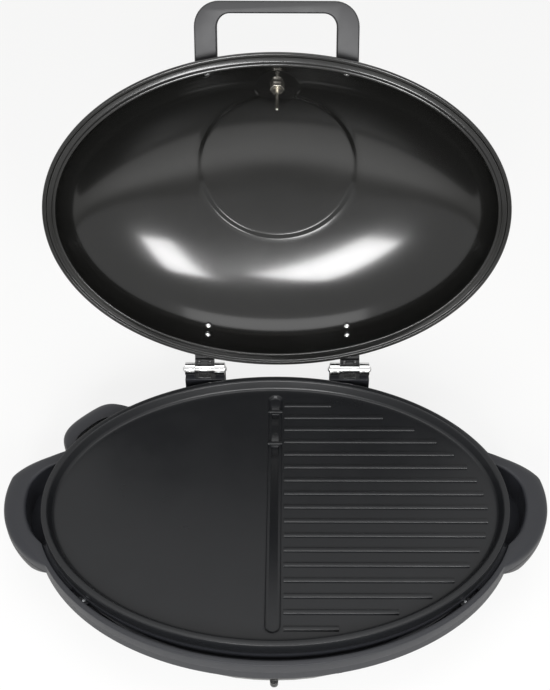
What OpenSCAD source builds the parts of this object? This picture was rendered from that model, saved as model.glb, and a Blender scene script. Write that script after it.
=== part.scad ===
// Electric indoor grill with an oval hotplate and a hinged dome lid.
// Millimetres, +Z up. The grill stands on z = 0 and its lid is modelled open on its stop;
// the origin is under the middle of the open grill, and -Y is the cook's side.

/* [Hotplate] */
// Half the length of the hotplate over its rim, left to right
plate_a = 230; // [210:1:240]
// Half the depth of the hotplate over its rim, front to back
plate_b = 166; // [150:1:174]
// Height of the hotplate's rim above the table
rim_z = 84; // [80:1:96]
// Width of the flat land on top of the rim
land_w = 6; // [4:0.5:8]
// Depth of the cooking surface below the rim
plate_depth = 10; // [7:0.5:12]
// Height of the rim's outer wall
rim_h = 13; // [12:0.5:16]
// Thickness of the cast floor
plate_t = 6; // [4:0.5:7]
// Number of grill ribs
rib_count = 17; // [9:1:17]
// Distance from one rib to the next
rib_pitch = 17.13; // [14:0.01:17.13]
// Width of a rib at its foot
rib_w = 5; // [3.5:0.5:7]
// Height of a rib
rib_h = 1.8; // [1:0.1:3]
// Width of the drain channel between griddle and grill
channel_w = 14; // [10:1:15]
// Depth of the drain channel
channel_depth = 2.6; // [1.5:0.1:3.5]
// Half the length of the drain channel
channel_half = 146; // [120:1:148]

/* [Base housing] */
// Half the length of the base over its skirt
base_a = 238; // [236:1:246]
// Half the depth of the base over its skirt
base_b = 178.5; // [177:0.5:184]
// Height of the skirt's lower edge above the table
skirt_z = 50; // [44:1:54]
// Depth of the lip below the hotplate's rim
lip_drop = 12; // [10:0.5:13]
// Wall of the moulded housings
wall = 3; // [2.5:0.1:4]
// Reach of each side handle beyond the skirt
handle_out = 36; // [28:1:44]
// Thickness of the upper handle shell
handle_top_h = 12; // [10:0.5:15]
// Thickness of the lower handle shell
handle_low_h = 17; // [12:0.5:20]
// Widest part of the finger gap, beyond the skirt's line
gap_out = 11; // [8:0.5:16]
// Reach of the inlet hood beyond the skirt
hood_out = 18; // [12:1:24]
// Direction of the inlet, as the angle round the oval
inlet_t = 145.5; // [140:0.5:150]
// Clearance of the lower housing above the table
belly_z = 12; // [9:0.5:16]

/* [Heating] */
// Diameter of the tubular heating element
element_d = 8; // [6.5:0.5:9]
// Radius of the element's round ends
element_r = 95; // [80:1:98]
// Half the straight length of the element
element_half = 80; // [60:1:90]
// Distance between the two element leads
lead_gap = 22; // [18:1:28]
// Diameter of each inlet pin
pin_d = 5; // [4:0.1:6]
// Free length of each inlet pin
pin_l = 18; // [14:1:20]
// Diameter of the thermostat sensor sleeve's hole
sensor_d = 7; // [5:0.5:8]

/* [Drip tray] */
// Width of the drip tray
tray_w = 120; // [90:1:130]
// Length of the drip tray behind its front
tray_l = 292; // [270:1:296]
// Height of the drip tray
tray_h = 15; // [10:0.5:16]
// Wall of the drip tray
tray_wall = 1.6; // [1.2:0.1:2.5]

/* [Hinge] */
// Distance of the hinge axis behind the hotplate's centre
hinge_y = 175; // [174:0.5:180]
// Height of the hinge axis above the hotplate's rim
hinge_up = 3; // [2:0.5:5]
// Distance of each hinge from the middle
hinge_x = 79.5; // [65:0.5:90]
// Width of each hinge
hinge_w = 43; // [38:1:48]
// Outer radius of the fixed knuckles
knuckle_r = 7.3; // [6.5:0.1:8]
// Outer radius of the moving knuckle
inner_knuckle_r = 5; // [4.4:0.1:6]
// Diameter of the hinge pin
hinge_pin_d = 5; // [4:0.1:5.5]
// Angle from the closed lid to the open lid on its stop
lid_open = 106.9; // [95:0.1:110]

/* [Lid] */
// Half the length of the lid over its rolled edge
lid_a = 241; // [236:0.5:246]
// Half the depth of the lid over its rolled edge
lid_b = 169; // [166:0.5:169.5]
// Width of the flange that rests on the hotplate
flange_w = 14; // [10:0.5:15]
// Height of the dome above its flange
dome_h = 80; // [70:1:90]
// Fullness of the dome: 2 is an ellipsoid, more is boxier
dome_power = 2.4; // [2.1:0.05:2.8]
// Thickness of the pressed steel
lid_t = 1.5; // [1.2:0.1:2]
// Radius of the round embossed disc on the crown
disc_r = 82; // [60:1:84]
// Distance of the disc's centre in front of the dome's centre
disc_fore = 32; // [0:1:34]
// Height of the embossed step
disc_step = 2.2; // [1:0.1:3]

/* [Lid handle] */
// Width of the lid handle
grip_w = 161; // [140:1:170]
// Reach of the lid handle from its root
grip_l = 67; // [55:1:75]
// Width of the handle's front bar
grip_bar = 11.5; // [10:0.5:16]
// Width of the handle's legs
grip_leg = 22; // [18:0.5:26]
// Thickness of the handle
grip_t = 12; // [9:0.5:14]
// Upward tilt of the handle
grip_tilt = 8; // [0:1:15]

/* [Thermometer] */
// Distance of the thermometer in front of the dome's centre
gauge_fore = 125; // [118:1:128]
// Outer radius of the bezel
gauge_r = 26; // [22:0.5:28]
// Height of the case
gauge_h = 9; // [8:0.5:12]
// Radius of the flat seat pressed into the dome
seat_r = 24.5; // [20:0.5:26]
// Radius of the threaded stem
stem_r = 4; // [3:0.1:5]
// Length of the probe rod inside the lid
probe_l = 32; // [20:1:40]

/* [Hidden] */
$fn = 48;

// Distance of the hotplate's centre in front of the origin
fore = 77;

// Fits
seat_gap = 0.3;      // between pieces that rest on each other
run_gap = 0.06;      // radial, between a pin and its bore
screw_gap = 0.1;     // radial, round a screw
slide_gap = 0.8;     // round the drip tray

// Resolution of the ovals
oval_steps = 72;
housing_steps = 180;

// Colours
charcoal = [0.25, 0.25, 0.27];
iron = [0.19, 0.19, 0.2];
enamel = [0.2, 0.2, 0.2];
chrome = [0.8, 0.8, 0.82];
steel = [0.6, 0.6, 0.62];
rubber = [0.1, 0.1, 0.1];
ceramic = [0.85, 0.83, 0.78];

// ---- Levels, from the table up ----
lip_z = rim_z - lip_drop;                 // top of the housing's lip
ledge_z = rim_z - rim_h - seat_gap;       // ledge that carries the hotplate
web_t = 4;                                // thickness of the ledge ring
web_z = ledge_z - web_t;                  // underside of the ledge ring
part_z = lip_z - handle_top_h;            // parting line of the side handles
floor_z = rim_z - plate_depth;            // cooking surface
under_z = floor_z - plate_t;              // underside of the hotplate
belly_floor = belly_z + wall;
pan_z = web_z - 10.5;                     // shelf that carries the reflector pan
tray_z = belly_floor + 6;                 // underside of the drip tray
lid_z = rim_z + seat_gap;                 // underside of the closed lid's flange
hinge_z = rim_z + hinge_up;

// ---- Ovals ----
// A swelling on the oval, 1 at its middle, falling to 0 at each end
function swell(t, at, after, before, power) =
    let (d = t - at, s = d > 0 ? d / after : -d / before)
    s >= 1 ? 0 : 1 - pow(s, power);
function turn(t) = t > 180 ? t - 360 : t < -180 ? t + 360 : t;
// The side handles swell a little behind the middle and run out long to the front
handle_at = 8;
handle_after = 16.5;
handle_before = 36;
function handle_side(t) = swell(turn(t), handle_at, handle_after, handle_before, 2.3);
function handles(t) = max(handle_side(t), handle_side(180 - t));
gap_after = 14.5;
gap_before = 28;
function gap_side(t) = swell(turn(t), handle_at - 1.5, gap_after, gap_before, 1.8);
hood_half = 11;
function hood(t) = swell(turn(t), inlet_t, hood_half, hood_half, 4);

// A point on an oval, moved out along its normal
function oval_point(a, b, t, out) =
    let (n = [cos(t) / a, sin(t) / b], u = n / norm(n))
    [a * cos(t) + out * u.x, b * sin(t) + out * u.y];
function oval(a, b, steps = oval_steps) =
    [for (i = [0 : steps - 1]) oval_point(a, b, 360 * i / steps, 0)];
// The base's outline, with its side handles and its inlet hood
function base_outline(inset, handle, hood) =
    [for (i = [0 : housing_steps - 1])
        let (t = 360 * i / housing_steps)
        oval_point(base_a, base_b, t, handle * handles(t) + hood * hood(t) - inset)];
function at_height(points, z) = [for (p = points) [p.x, p.y, z]];
function mirrored(points) = [for (i = [len(points) - 1 : -1 : 0]) [-points[i].x, points[i].y]];

// A solid through a stack of rings that all have the same number of points
module loft(rings) {
    n = len(rings[0]);
    top = (len(rings) - 1) * n;
    polyhedron(
        points = [for (ring = rings) each ring],
        faces = concat(
            [[for (i = [0 : n - 1]) i]],
            [for (r = [0 : len(rings) - 2], i = [0 : n - 1], half = [0, 1])
                let (a = r * n + i, b = r * n + (i + 1) % n)
                half == 0 ? [a, a + n, b + n] : [a, b + n, b]],
            [[for (i = [n - 1 : -1 : 0]) top + i]]));
}
module oval_plate(a, b, z, h, steps = oval_steps) {
    translate([0, 0, z]) linear_extrude(h) polygon(oval(a, b, steps));
}

// ---- Placing ----
module place() {
    translate([0, -fore, 0]) children();
}
// Swings a piece that is drawn on the closed lid to the open lid
module on_lid() {
    translate([0, hinge_y - fore, hinge_z]) rotate([-lid_open, 0, 0])
        translate([0, -hinge_y, lid_z - hinge_z]) children();
}
module at_hinge(side) {
    translate([side * hinge_x, hinge_y, hinge_z]) children();
}
// The inlet's own frame: X points out of the base, Y across, the origin on the skirt's line
inlet_p = oval_point(base_a, base_b, inlet_t, 0);
inlet_dir = oval_point(base_a, base_b, inlet_t, 1) - inlet_p;
inlet_turn = atan2(inlet_dir.y, inlet_dir.x);
module at_inlet(z = 0) {
    translate([inlet_p.x, inlet_p.y, z]) rotate([0, 0, inlet_turn]) children();
}
module pan_screw(d, l, head_d, head_h) {
    cylinder(d = head_d, h = head_h);
    translate([0, 0, head_h]) cylinder(d = d, h = l);
}

// ---- Base housing ----
opening_a = plate_a - 7.5;
opening_b = plate_b - 7.5;
gap_in = base_a - opening_a - 4;          // from the skirt's line in to the finger gap
inlet_z = web_z - 9;                      // height of the inlet pins
inlet_w = 48;
inlet_low = skirt_z - 1;
inlet_top = web_z - 2.5;
module finger_gap() {
    steps = 40;
    from = handle_at - 1.5 - gap_before;
    to = handle_at - 1.5 + gap_after;
    outer = [for (i = [0 : steps])
        let (t = from + (to - from) * i / steps)
        oval_point(base_a, base_b, t, (gap_in + gap_out) * gap_side(t) - gap_in)];
    inner = [for (i = [steps : -1 : 0])
        oval_point(base_a, base_b, from + (to - from) * i / steps, -gap_in)];
    points = concat(outer, [for (i = [1 : steps - 1]) inner[i]]);
    translate([0, 0, part_z - handle_low_h - 1])
        linear_extrude(lip_z - part_z + handle_low_h + 2) {
            polygon(points);
            polygon(mirrored(points));
        }
}
module inlet_slot() {
    steps = 16;
    half = 8;
    points = concat(
        [for (i = [0 : steps])
            let (t = inlet_t - half + 2 * half * i / steps)
            oval_point(base_a, base_b, t, 3 * swell(t, inlet_t, half, half, 4))],
        [for (i = [steps : -1 : 0])
            oval_point(base_a, base_b, inlet_t - half + 2 * half * i / steps, -5.5)]);
    translate([0, 0, inlet_top - 1]) linear_extrude(lip_z - inlet_top + 2) polygon(points);
}
module inlet_window() {
    back = block_in + seat_gap;
    at_inlet() translate([-back, -inlet_w / 2, inlet_low])
        cube([back + hood_out + 5, inlet_w, inlet_top - inlet_low]);
}
skirt_step = 0.3;                         // the skirt is set in below the parting line
lug_turns = [40, 122, 220, 320];
lug_d = 11;
lug_h = 8;
screw_d = 3.4;
head_d = 6.6;
head_h = 2.4;
module at_lugs() {
    for (t = lug_turns) {
        p = oval_point(base_a, base_b, t, -9);
        translate([p.x, p.y, 0]) children();
    }
}
cover_screw_turns = [-14, 19];
module at_cover_screws(side) {
    for (t = cover_screw_turns) {
        p = oval_point(base_a, base_b, t, (gap_out + handle_out) / 2 * handle_side(t) + 1);
        translate([side * p.x, p.y, 0]) children();
    }
}
module upper_housing() {
    color(charcoal) place() difference() {
        union() {
            loft([
                at_height(base_outline(0, handle_out, hood_out), part_z),
                at_height(base_outline(0, handle_out, hood_out), lip_z - 7.5),
                at_height(base_outline(0.1, handle_out * 0.94, hood_out * 0.95), lip_z - 4),
                at_height(base_outline(0.5, handle_out * 0.8, hood_out * 0.82), lip_z - 1.6),
                at_height(base_outline(1.6, handle_out * 0.6, hood_out * 0.62), lip_z)
            ]);
            translate([0, 0, skirt_z]) linear_extrude(part_z - skirt_z + 2)
                polygon(base_outline(skirt_step, 0, hood_out));
        }
        // recess in which the hotplate's rim sits
        oval_plate(plate_a + 4, plate_b + 4.5, ledge_z, lip_z - ledge_z + 1);
        oval_plate(opening_a, opening_b, web_z - 1, web_t + 2);
        // hollow of the skirt
        oval_plate(base_a - wall, base_b - wall, skirt_z - 1, web_z - skirt_z + 1);
        finger_gap();
        inlet_slot();
        inlet_window();
        at_lugs() translate([0, 0, web_z - 1]) cylinder(d = screw_d + 2 * screw_gap, h = 4);
        for (side = [-1, 1]) at_cover_screws(side)
            translate([0, 0, part_z - 1]) cylinder(d = screw_d + 2 * screw_gap, h = 7.5);
    }
}

// The belly of the base: an oval bowl with a shelf for the reflector pan
bowl_a = 222;
bowl_b = 174;
// Its profile: how far each ring lies inside the mouth, left to right and front to back, its
// height, and how much higher the inner face turns there
bowl_profile = [
    [40, 27, belly_z, wall],
    [27, 17, belly_z + 5, wall * 0.8],
    [17, 8.5, belly_z + 12, wall * 0.5],
    [11, 4, belly_z + 22, wall * 0.2],
    [5, 1, skirt_z, 0],
    [0, 0, web_z, 1]
];
function bowl_rings(inset = 0) = [for (p = bowl_profile)
    at_height(oval(bowl_a - p[0] - inset, bowl_b - p[1] - inset), p[2] + (inset > 0 ? p[3] : 0))];
shelf_t = 2.5;
runner_w = 5;
runner_x = tray_w / 2 - 12;
foot_x = 95;
foot_y = 112;
foot_d = 22;
plug_d = 9;
module at_feet() {
    for (x = [-foot_x, foot_x], y = [-foot_y, foot_y]) translate([x, y, 0]) children();
}
module lower_housing() {
    color(charcoal) place() difference() {
        union() {
            difference() {
                loft(bowl_rings());
                loft(bowl_rings(wall));
            }
            // shelf that carries the reflector pan
            difference() {
                oval_plate(bowl_a - 5, bowl_b - 2.5, pan_z - shelf_t, shelf_t);
                oval_plate(bowl_a - 18, bowl_b - 15, pan_z - shelf_t - 1, shelf_t + 2);
            }
            // runners under the drip tray
            for (x = [-runner_x, runner_x])
                translate([x - runner_w / 2, -118, belly_floor - 1])
                    cube([runner_w, 240, tray_z - seat_gap - belly_floor + 1]);
            // lugs that meet the ledge ring
            at_lugs() translate([0, 0, web_z - lug_h]) cylinder(d = lug_d, h = lug_h);
        }
        // mouth of the drip tray
        translate([-tray_w / 2 - slide_gap, -bowl_b - 5, tray_z - slide_gap])
            cube([tray_w + 2 * slide_gap, 60, tray_h + 2 * slide_gap]);
        inlet_window();
        at_lugs() translate([0, 0, web_z - lug_h - 1]) {
            cylinder(d = screw_d + 2 * screw_gap, h = lug_h + 2);
            cylinder(d = head_d + 0.6, h = head_h + 1.1);
        }
        at_feet() translate([0, 0, belly_z - 1]) cylinder(d = plug_d, h = wall + 2);
    }
}
// Lower shell of a side handle: a band swept along the handle, outside the finger gap
function cover_section(side, t) =
    let (reach = handle_out * handle_side(t),
         edge = max(seat_gap, (gap_in + gap_out) * gap_side(t) - gap_in),
         low = part_z - handle_low_h,
         outer = [[3.2, 0], [0.9, 3.5], [0, 8], [0, handle_low_h]],
         inner = [[0, handle_low_h], [0, 8], [0.2, 3.5], [0.8, 0]])
    concat(
        [for (r = outer) let (p = oval_point(base_a, base_b, t, max(reach - r[0], edge + 1.5)))
            [side * p.x, p.y, low + r[1]]],
        [for (r = inner) let (p = oval_point(base_a, base_b, t, edge + r[0]))
            [side * p.x, p.y, low + r[1]]]);
module handle_cover(side) {
    steps = 40;
    ends = side < 0 ? [handle_at - handle_before * 0.93, handle_at + handle_after * 0.82]
                    : [handle_at + handle_after * 0.82, handle_at - handle_before * 0.93];
    color(charcoal) place() difference() {
        loft([for (i = [0 : steps]) cover_section(side, ends[0] + (ends[1] - ends[0]) * i / steps)]);
        at_cover_screws(side) translate([0, 0, part_z - handle_low_h - 1]) {
            cylinder(d = screw_d + 2 * screw_gap, h = handle_low_h + 2);
            cylinder(d = 7.4, h = 6);
        }
    }
}
module left_handle_cover() { handle_cover(-1); }
module right_handle_cover() { handle_cover(1); }
module handle_cover_screws() {
    color(steel) place() for (side = [-1, 1]) at_cover_screws(side)
        translate([0, 0, part_z - handle_low_h + 2.4])
            pan_screw(screw_d, handle_low_h - 2, head_d, head_h);
}
module housing_screws() {
    color(steel) place() at_lugs() translate([0, 0, web_z - lug_h])
        pan_screw(screw_d, lug_h - head_h + 2.5, head_d, head_h);
}
module rubber_feet() {
    color(rubber) place() at_feet() {
        rotate_extrude() polygon([
            [0, 0], [foot_d / 2 - 1.5, 0], [foot_d / 2, 1.5], [foot_d / 2 - 1, belly_z - 0.1],
            [plug_d / 2 - 0.2, belly_z - 0.1], [plug_d / 2 - 0.2, belly_z + wall],
            [plug_d / 2 + 1, belly_z + wall + 0.6], [plug_d / 2 - 0.6, belly_z + wall + 4],
            [0, belly_z + wall + 4]
        ]);
    }
}

// ---- Hotplate ----
rib_fore = 5.65;                          // the rib field sits this far in front of the middle
rib_field_a = plate_a - 21;
rib_field_b = plate_b - 23.3;
rib_start_x = 8.3;
channel_x = -1.5;
drain_y = [118, 69.5];
drain_l = [8, 15];
drain_w = 9;
body_a = plate_a - 10;                    // the casting below the rim
body_b = plate_b - 10;
boss_w = 2.7;                             // walls that hold the heating element
module stadium(r, half) {
    for (x = [-half, half]) translate([x, 0]) circle(r);
    square([2 * half, 2 * r], center = true);
}
// One grill rib: a rounded bar with round ends
module grill_rib(y) {
    reach = 1 - pow((y + rib_fore) / rib_field_b, 2);
    end_x = rib_field_a * sqrt(max(reach, 0)) - rib_w / 2;
    from_x = rib_start_x + rib_w / 2;
    top_w = rib_w - 1.8;
    if (end_x > from_x + rib_w) translate([0, y, floor_z]) {
        for (x = [from_x, end_x]) translate([x, 0, -0.5]) {
            cylinder(d = rib_w, h = 0.5 + rib_h * 0.4);
            translate([0, 0, 0.5 + rib_h * 0.4])
                cylinder(d1 = rib_w, d2 = top_w, h = rib_h * 0.6);
        }
        translate([from_x, 0, 0]) rotate([90, 0, 90]) linear_extrude(end_x - from_x)
            polygon([[-rib_w / 2, -0.5], [rib_w / 2, -0.5], [rib_w / 2, rib_h * 0.4],
                     [top_w / 2, rib_h], [-top_w / 2, rib_h], [-rib_w / 2, rib_h * 0.4]]);
    }
}
module hotplate() {
    ribs_half = (rib_count - 1) / 2 * rib_pitch;
    color(iron) place() {
        difference() {
            union() {
                // rim with its flange
                oval_plate(plate_a, plate_b, rim_z - rim_h, rim_h);
                // casting below the rim
                oval_plate(body_a, body_b, under_z, floor_z - under_z);
                // channel walls for the heating element
                translate([0, 0, under_z - element_d * 0.7]) linear_extrude(element_d * 0.7 + 1)
                    difference() {
                        stadium(element_r + element_d / 2 + seat_gap + boss_w, element_half);
                        stadium(element_r - element_d / 2 - seat_gap - boss_w, element_half);
                    }
            }
            // the dish above the cooking surface
            loft([
                at_height(oval(plate_a - land_w - 4, plate_b - land_w - 4), floor_z),
                at_height(oval(plate_a - land_w, plate_b - land_w), rim_z),
                at_height(oval(plate_a - land_w, plate_b - land_w), rim_z + 1)
            ]);
            // seat of the heating element
            translate([0, 0, under_z - element_d]) linear_extrude(element_d)
                difference() {
                    stadium(element_r + element_d / 2 + seat_gap, element_half);
                    stadium(element_r - element_d / 2 - seat_gap, element_half);
                }
            lead_room();
            // drain channel with round ends
            translate([channel_x, 0, floor_z - channel_depth]) linear_extrude(channel_depth + 1) {
                square([channel_w, 2 * channel_half - channel_w], center = true);
                for (y = [-1, 1])
                    translate([0, y * (channel_half - channel_w / 2)]) circle(d = channel_w);
            }
            for (i = [0, 1])
                translate([channel_x - drain_w / 2, drain_y[i] - drain_l[i] / 2, under_z - 1])
                    cube([drain_w, drain_l[i], plate_t + 2]);
        }
        for (i = [0 : rib_count - 1]) grill_rib(ribs_half - rib_fore - i * rib_pitch);
        // dams behind the drain slots
        for (i = [0, 1])
            translate([channel_x - channel_w / 2, drain_y[i] + drain_l[i] / 2,
                       floor_z - channel_depth - 0.5])
                cube([channel_w, 4, channel_depth + 0.5]);
    }
}

// ---- Heating ----
element_z = under_z - element_d / 2 - 0.2;
element_c = [-element_half, 0];
lead_dir = [cos(inlet_turn), sin(inlet_turn)];
lead_side = [-lead_dir.y, lead_dir.x];
// Where a lead, offset across the inlet, meets the element's round end
function lead_start(across) =
    let (q = inlet_p + lead_side * across - element_c, along = q * lead_dir, off = q * lead_side)
    along - sqrt(element_r * element_r - off * off);
function lead_point(across, back) = inlet_p + lead_side * across - lead_dir * back;
function lead_turn(across) =
    let (p = lead_point(across, lead_start(across)) - element_c) atan2(p.y, p.x);
block_in = 34;                            // the terminal block lies this far inside the skirt
block_l = 14;
module lead_room() {
    across = lead_gap / 2;
    for (s = [-1, 1]) {
        p = lead_point(s * across, lead_start(s * across));
        translate([p.x, p.y, under_z - element_d]) rotate([0, 0, inlet_turn])
            translate([-3 * element_d, -element_d / 2 - 11, 0])
                cube([element_d * 5 + 10, element_d + 22, element_d]);
    }
}
bend = 16;                                // length of the bend from a lead into the round end
function ring_point(turn_at) = element_c + element_r * [cos(turn_at), sin(turn_at)];
// From the block along a lead, round its bend, to the round end; spin is the way round
function lead_path(across, spin) =
    let (back = lead_start(across), at = lead_turn(across),
         a = lead_point(across, back - bend), corner = lead_point(across, back),
         b = ring_point(at + spin * bend / element_r * 180 / PI))
    concat([lead_point(across, block_in + seat_gap)],
        [for (i = [0 : 6]) let (k = i / 6)
            (1 - k) * (1 - k) * a + 2 * k * (1 - k) * corner + k * k * b]);
function backwards(list) = [for (i = [len(list) - 1 : -1 : 0]) list[i]];
function element_path() =
    let (across = lead_gap / 2, from = lead_turn(-across) - 14, to = lead_turn(across) + 14)
    concat(
        lead_path(-across, -1),
        [for (i = [0 : 6]) ring_point(from + (90 - from) * i / 6)],
        [for (i = [0 : 24]) [element_half, 0] + element_r * [cos(90 - 7.5 * i), sin(90 - 7.5 * i)]],
        [for (i = [0 : 12]) ring_point(270 + (to - 270) * i / 12)],
        backwards(lead_path(across, 1)));
// A round tube along a flat path
module tube(path, d, sides = 20) {
    last = len(path) - 1;
    loft([for (i = [0 : last])
        let (t = path[min(i + 1, last)] - path[max(i - 1, 0)], u = t / norm(t))
        [for (k = [0 : sides - 1])
            let (a = 360 * k / sides)
            [path[i].x + u.y * cos(a) * d / 2, path[i].y - u.x * cos(a) * d / 2, -sin(a) * d / 2]]]);
}
module heating_element() {
    color(steel) place() translate([0, 0, element_z]) tube(element_path(), element_d);
}
block_w = 42;
block_low = 8.5;                          // the block reaches this far below the pins
block_h = under_z - seat_gap - (inlet_z - block_low);
module terminal_block() {
    color(ceramic) place() at_inlet(inlet_z) difference() {
        translate([-block_in, -block_w / 2, -block_low]) cube([block_l, block_w, block_h]);
        for (s = [-1, 1]) translate([-block_in - 1, s * lead_gap / 2, 0]) rotate([0, 90, 0])
            cylinder(d = pin_d - 0.9, h = block_l + 2);
        translate([-block_in - 1, 0, 0]) rotate([0, 90, 0])
            cylinder(d = sensor_d + 2 + 0.1, h = block_l + 2);
    }
}
module inlet_pins() {
    tip = 1;
    root_d = pin_d - 1;
    color(chrome) place() at_inlet(inlet_z) for (s = [-1, 1])
        translate([block_l - block_in, s * lead_gap / 2, 0]) rotate([0, 90, 0]) {
            translate([0, 0, 2 - block_l]) cylinder(d = root_d, h = block_l);
            translate([0, 0, 0.05]) cylinder(d = pin_d, h = pin_l - tip);
            translate([0, 0, 0.05 + pin_l - tip]) cylinder(d1 = pin_d, d2 = pin_d - 1.6, h = tip);
        }
}
module sensor_sleeve() {
    color(steel) place() at_inlet(inlet_z) translate([-block_in - 8, 0, 0]) rotate([0, 90, 0])
        difference() {
            cylinder(d = sensor_d + 2, h = block_l + 12);
            translate([0, 0, 2]) cylinder(d = sensor_d, h = block_l + 12);
        }
}
module reflector_pan() {
    t = 1;
    z = pan_z + 0.05;
    edge = oval(bowl_a - 8, bowl_b - 5.5);
    mouth = oval(bowl_a - 24, bowl_b - 21);
    color(steel) place() difference() {
        loft([
            at_height(oval(bowl_a - 44, bowl_b - 39), z - 9),
            at_height(mouth, z), at_height(edge, z), at_height(edge, z + t)
        ]);
        loft([
            at_height(oval(bowl_a - 45, bowl_b - 40), z - 9 + t),
            at_height(mouth, z + t), at_height(mouth, z + 3 * t)
        ]);
        // room for the terminal block and the sleeve
        at_inlet() translate([-block_in - 11, -inlet_w / 2, 0]) cube([60, inlet_w, rim_z]);
        // opening for the fat that runs from the drain slots to the tray
        translate([channel_x - 14, drain_y[1] - 18, pan_z - 12]) cube([28, 82, 16]);
    }
}

// ---- Drip tray ----
nub_w = 7.5;
nub_out = 5.5;
module drip_tray() {
    front_y = -bowl_b + 4;
    back_y = front_y + tray_l;
    color(iron) place() {
        difference() {
            translate([-tray_w / 2, front_y + 14, tray_z]) cube([tray_w, tray_l - 14, tray_h]);
            translate([-tray_w / 2 + tray_wall, front_y + 16, tray_z + tray_wall])
                cube([tray_w - 2 * tray_wall, tray_l - 16 - tray_wall, tray_h]);
        }
        // front that carries on the belly's curve
        difference() {
            intersection() {
                loft(bowl_rings());
                translate([-tray_w / 2, -bowl_b - 5, tray_z])
                    cube([tray_w, 24, tray_h]);
            }
            translate([-tray_w / 2 + tray_wall, -bowl_b + 11, tray_z + tray_wall])
                cube([tray_w - 2 * tray_wall, 30, tray_h]);
        }
        // pull
        translate([0, -bowl_b + 8, tray_z + 1]) {
            translate([-nub_w / 2, -nub_out + nub_w / 2, 0]) cube([nub_w, 8, 6]);
            translate([0, -nub_out + nub_w / 2, 0]) cylinder(d = nub_w, h = 6);
        }
    }
}

// ---- Hinges ----
arm_w = 21;
knuckle_in = arm_w / 2 + 0.4;             // the fixed knuckles start this far from the middle
block_top = hinge_z - knuckle_r - 0.2;
block_back = 14;                          // the block reaches this far behind the axis
tongue_l = 12.5;
tongue_t = 3;
tongue_at = 240;                          // direction of the tongue when the lid is open
stop_wall = 2;
// back face of the stop wall, from the axis
stop_y = tongue_l * cos(tongue_at) + tongue_t / 2 * sin(tongue_at) - 0.2;
leaf_screw_x = 16;
leaf_screw_y = block_back - 3.7;
leaf_screw_l = 12;
leaf_screw_d = 3;
leaf_t = 2.4;
module hinge_block(side) {
    color(charcoal) place() difference() {
        translate([side * hinge_x - hinge_w / 2, hinge_y + stop_y - stop_wall, skirt_z + 2])
            cube([hinge_w, block_back - stop_y + stop_wall, block_top - skirt_z - 2]);
        // it fits round the skirt and over the lip
        translate([0, 0, skirt_z]) linear_extrude(lip_z + seat_gap - skirt_z)
            polygon(base_outline(-seat_gap, 0, 0));
        // room in which the stop tongue swings
        at_hinge(side) translate([-knuckle_in, stop_y, -tongue_l - 1.5])
            cube([2 * knuckle_in, 40, 30]);
        for (x = [-leaf_screw_x, leaf_screw_x]) at_hinge(side)
            translate([x, leaf_screw_y, -knuckle_r - leaf_screw_l]) cylinder(d = leaf_screw_d
                + 2 * screw_gap, h = leaf_screw_l + 5);
    }
}
module left_hinge_block() { hinge_block(-1); }
module right_hinge_block() { hinge_block(1); }
module base_leaf(side) {
    color(chrome) place() at_hinge(side) difference() {
        union() {
            for (s = [-1, 1]) translate([s > 0 ? knuckle_in : -hinge_w / 2, 0, 0])
                rotate([0, 90, 0]) cylinder(r = knuckle_r, h = hinge_w / 2 - knuckle_in);
            for (s = [-1, 1])
                translate([s > 0 ? knuckle_in : -hinge_w / 2, 0, block_top - hinge_z + 0.2])
                    cube([hinge_w / 2 - knuckle_in, block_back - 0.5, leaf_t]);
        }
        translate([-hinge_w, 0, 0]) rotate([0, 90, 0])
            cylinder(d = hinge_pin_d + 2 * run_gap, h = 2 * hinge_w);
        for (x = [-leaf_screw_x, leaf_screw_x]) translate([x, leaf_screw_y, -knuckle_r - 1])
            cylinder(d = leaf_screw_d + 2 * screw_gap, h = leaf_t + 2);
    }
}
module left_base_leaf() { base_leaf(-1); }
module right_base_leaf() { base_leaf(1); }
module base_leaf_screws() {
    color(chrome) place() for (side = [-1, 1], x = [-leaf_screw_x, leaf_screw_x]) at_hinge(side)
        translate([x, leaf_screw_y, leaf_t - knuckle_r + 2.1])
            rotate([180, 0, 0]) pan_screw(leaf_screw_d, leaf_screw_l, 5.4, 2);
}
module hinge_pin(side) {
    head_r = hinge_pin_d / 2 + 1.6;
    color(chrome) place() at_hinge(side) rotate([0, 90, 0]) {
        translate([0, 0, -hinge_w / 2 - seat_gap])
            cylinder(d = hinge_pin_d, h = hinge_w + 2 * seat_gap);
        for (s = [0, 1]) mirror([0, 0, s])
            translate([0, 0, hinge_w / 2 + 0.1]) rotate_extrude() intersection() {
                translate([0, -head_r + 2.4]) circle(r = head_r);
                square([head_r, 2.4]);
            }
    }
}
module left_hinge_pin() { hinge_pin(-1); }
module right_hinge_pin() { hinge_pin(1); }

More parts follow.
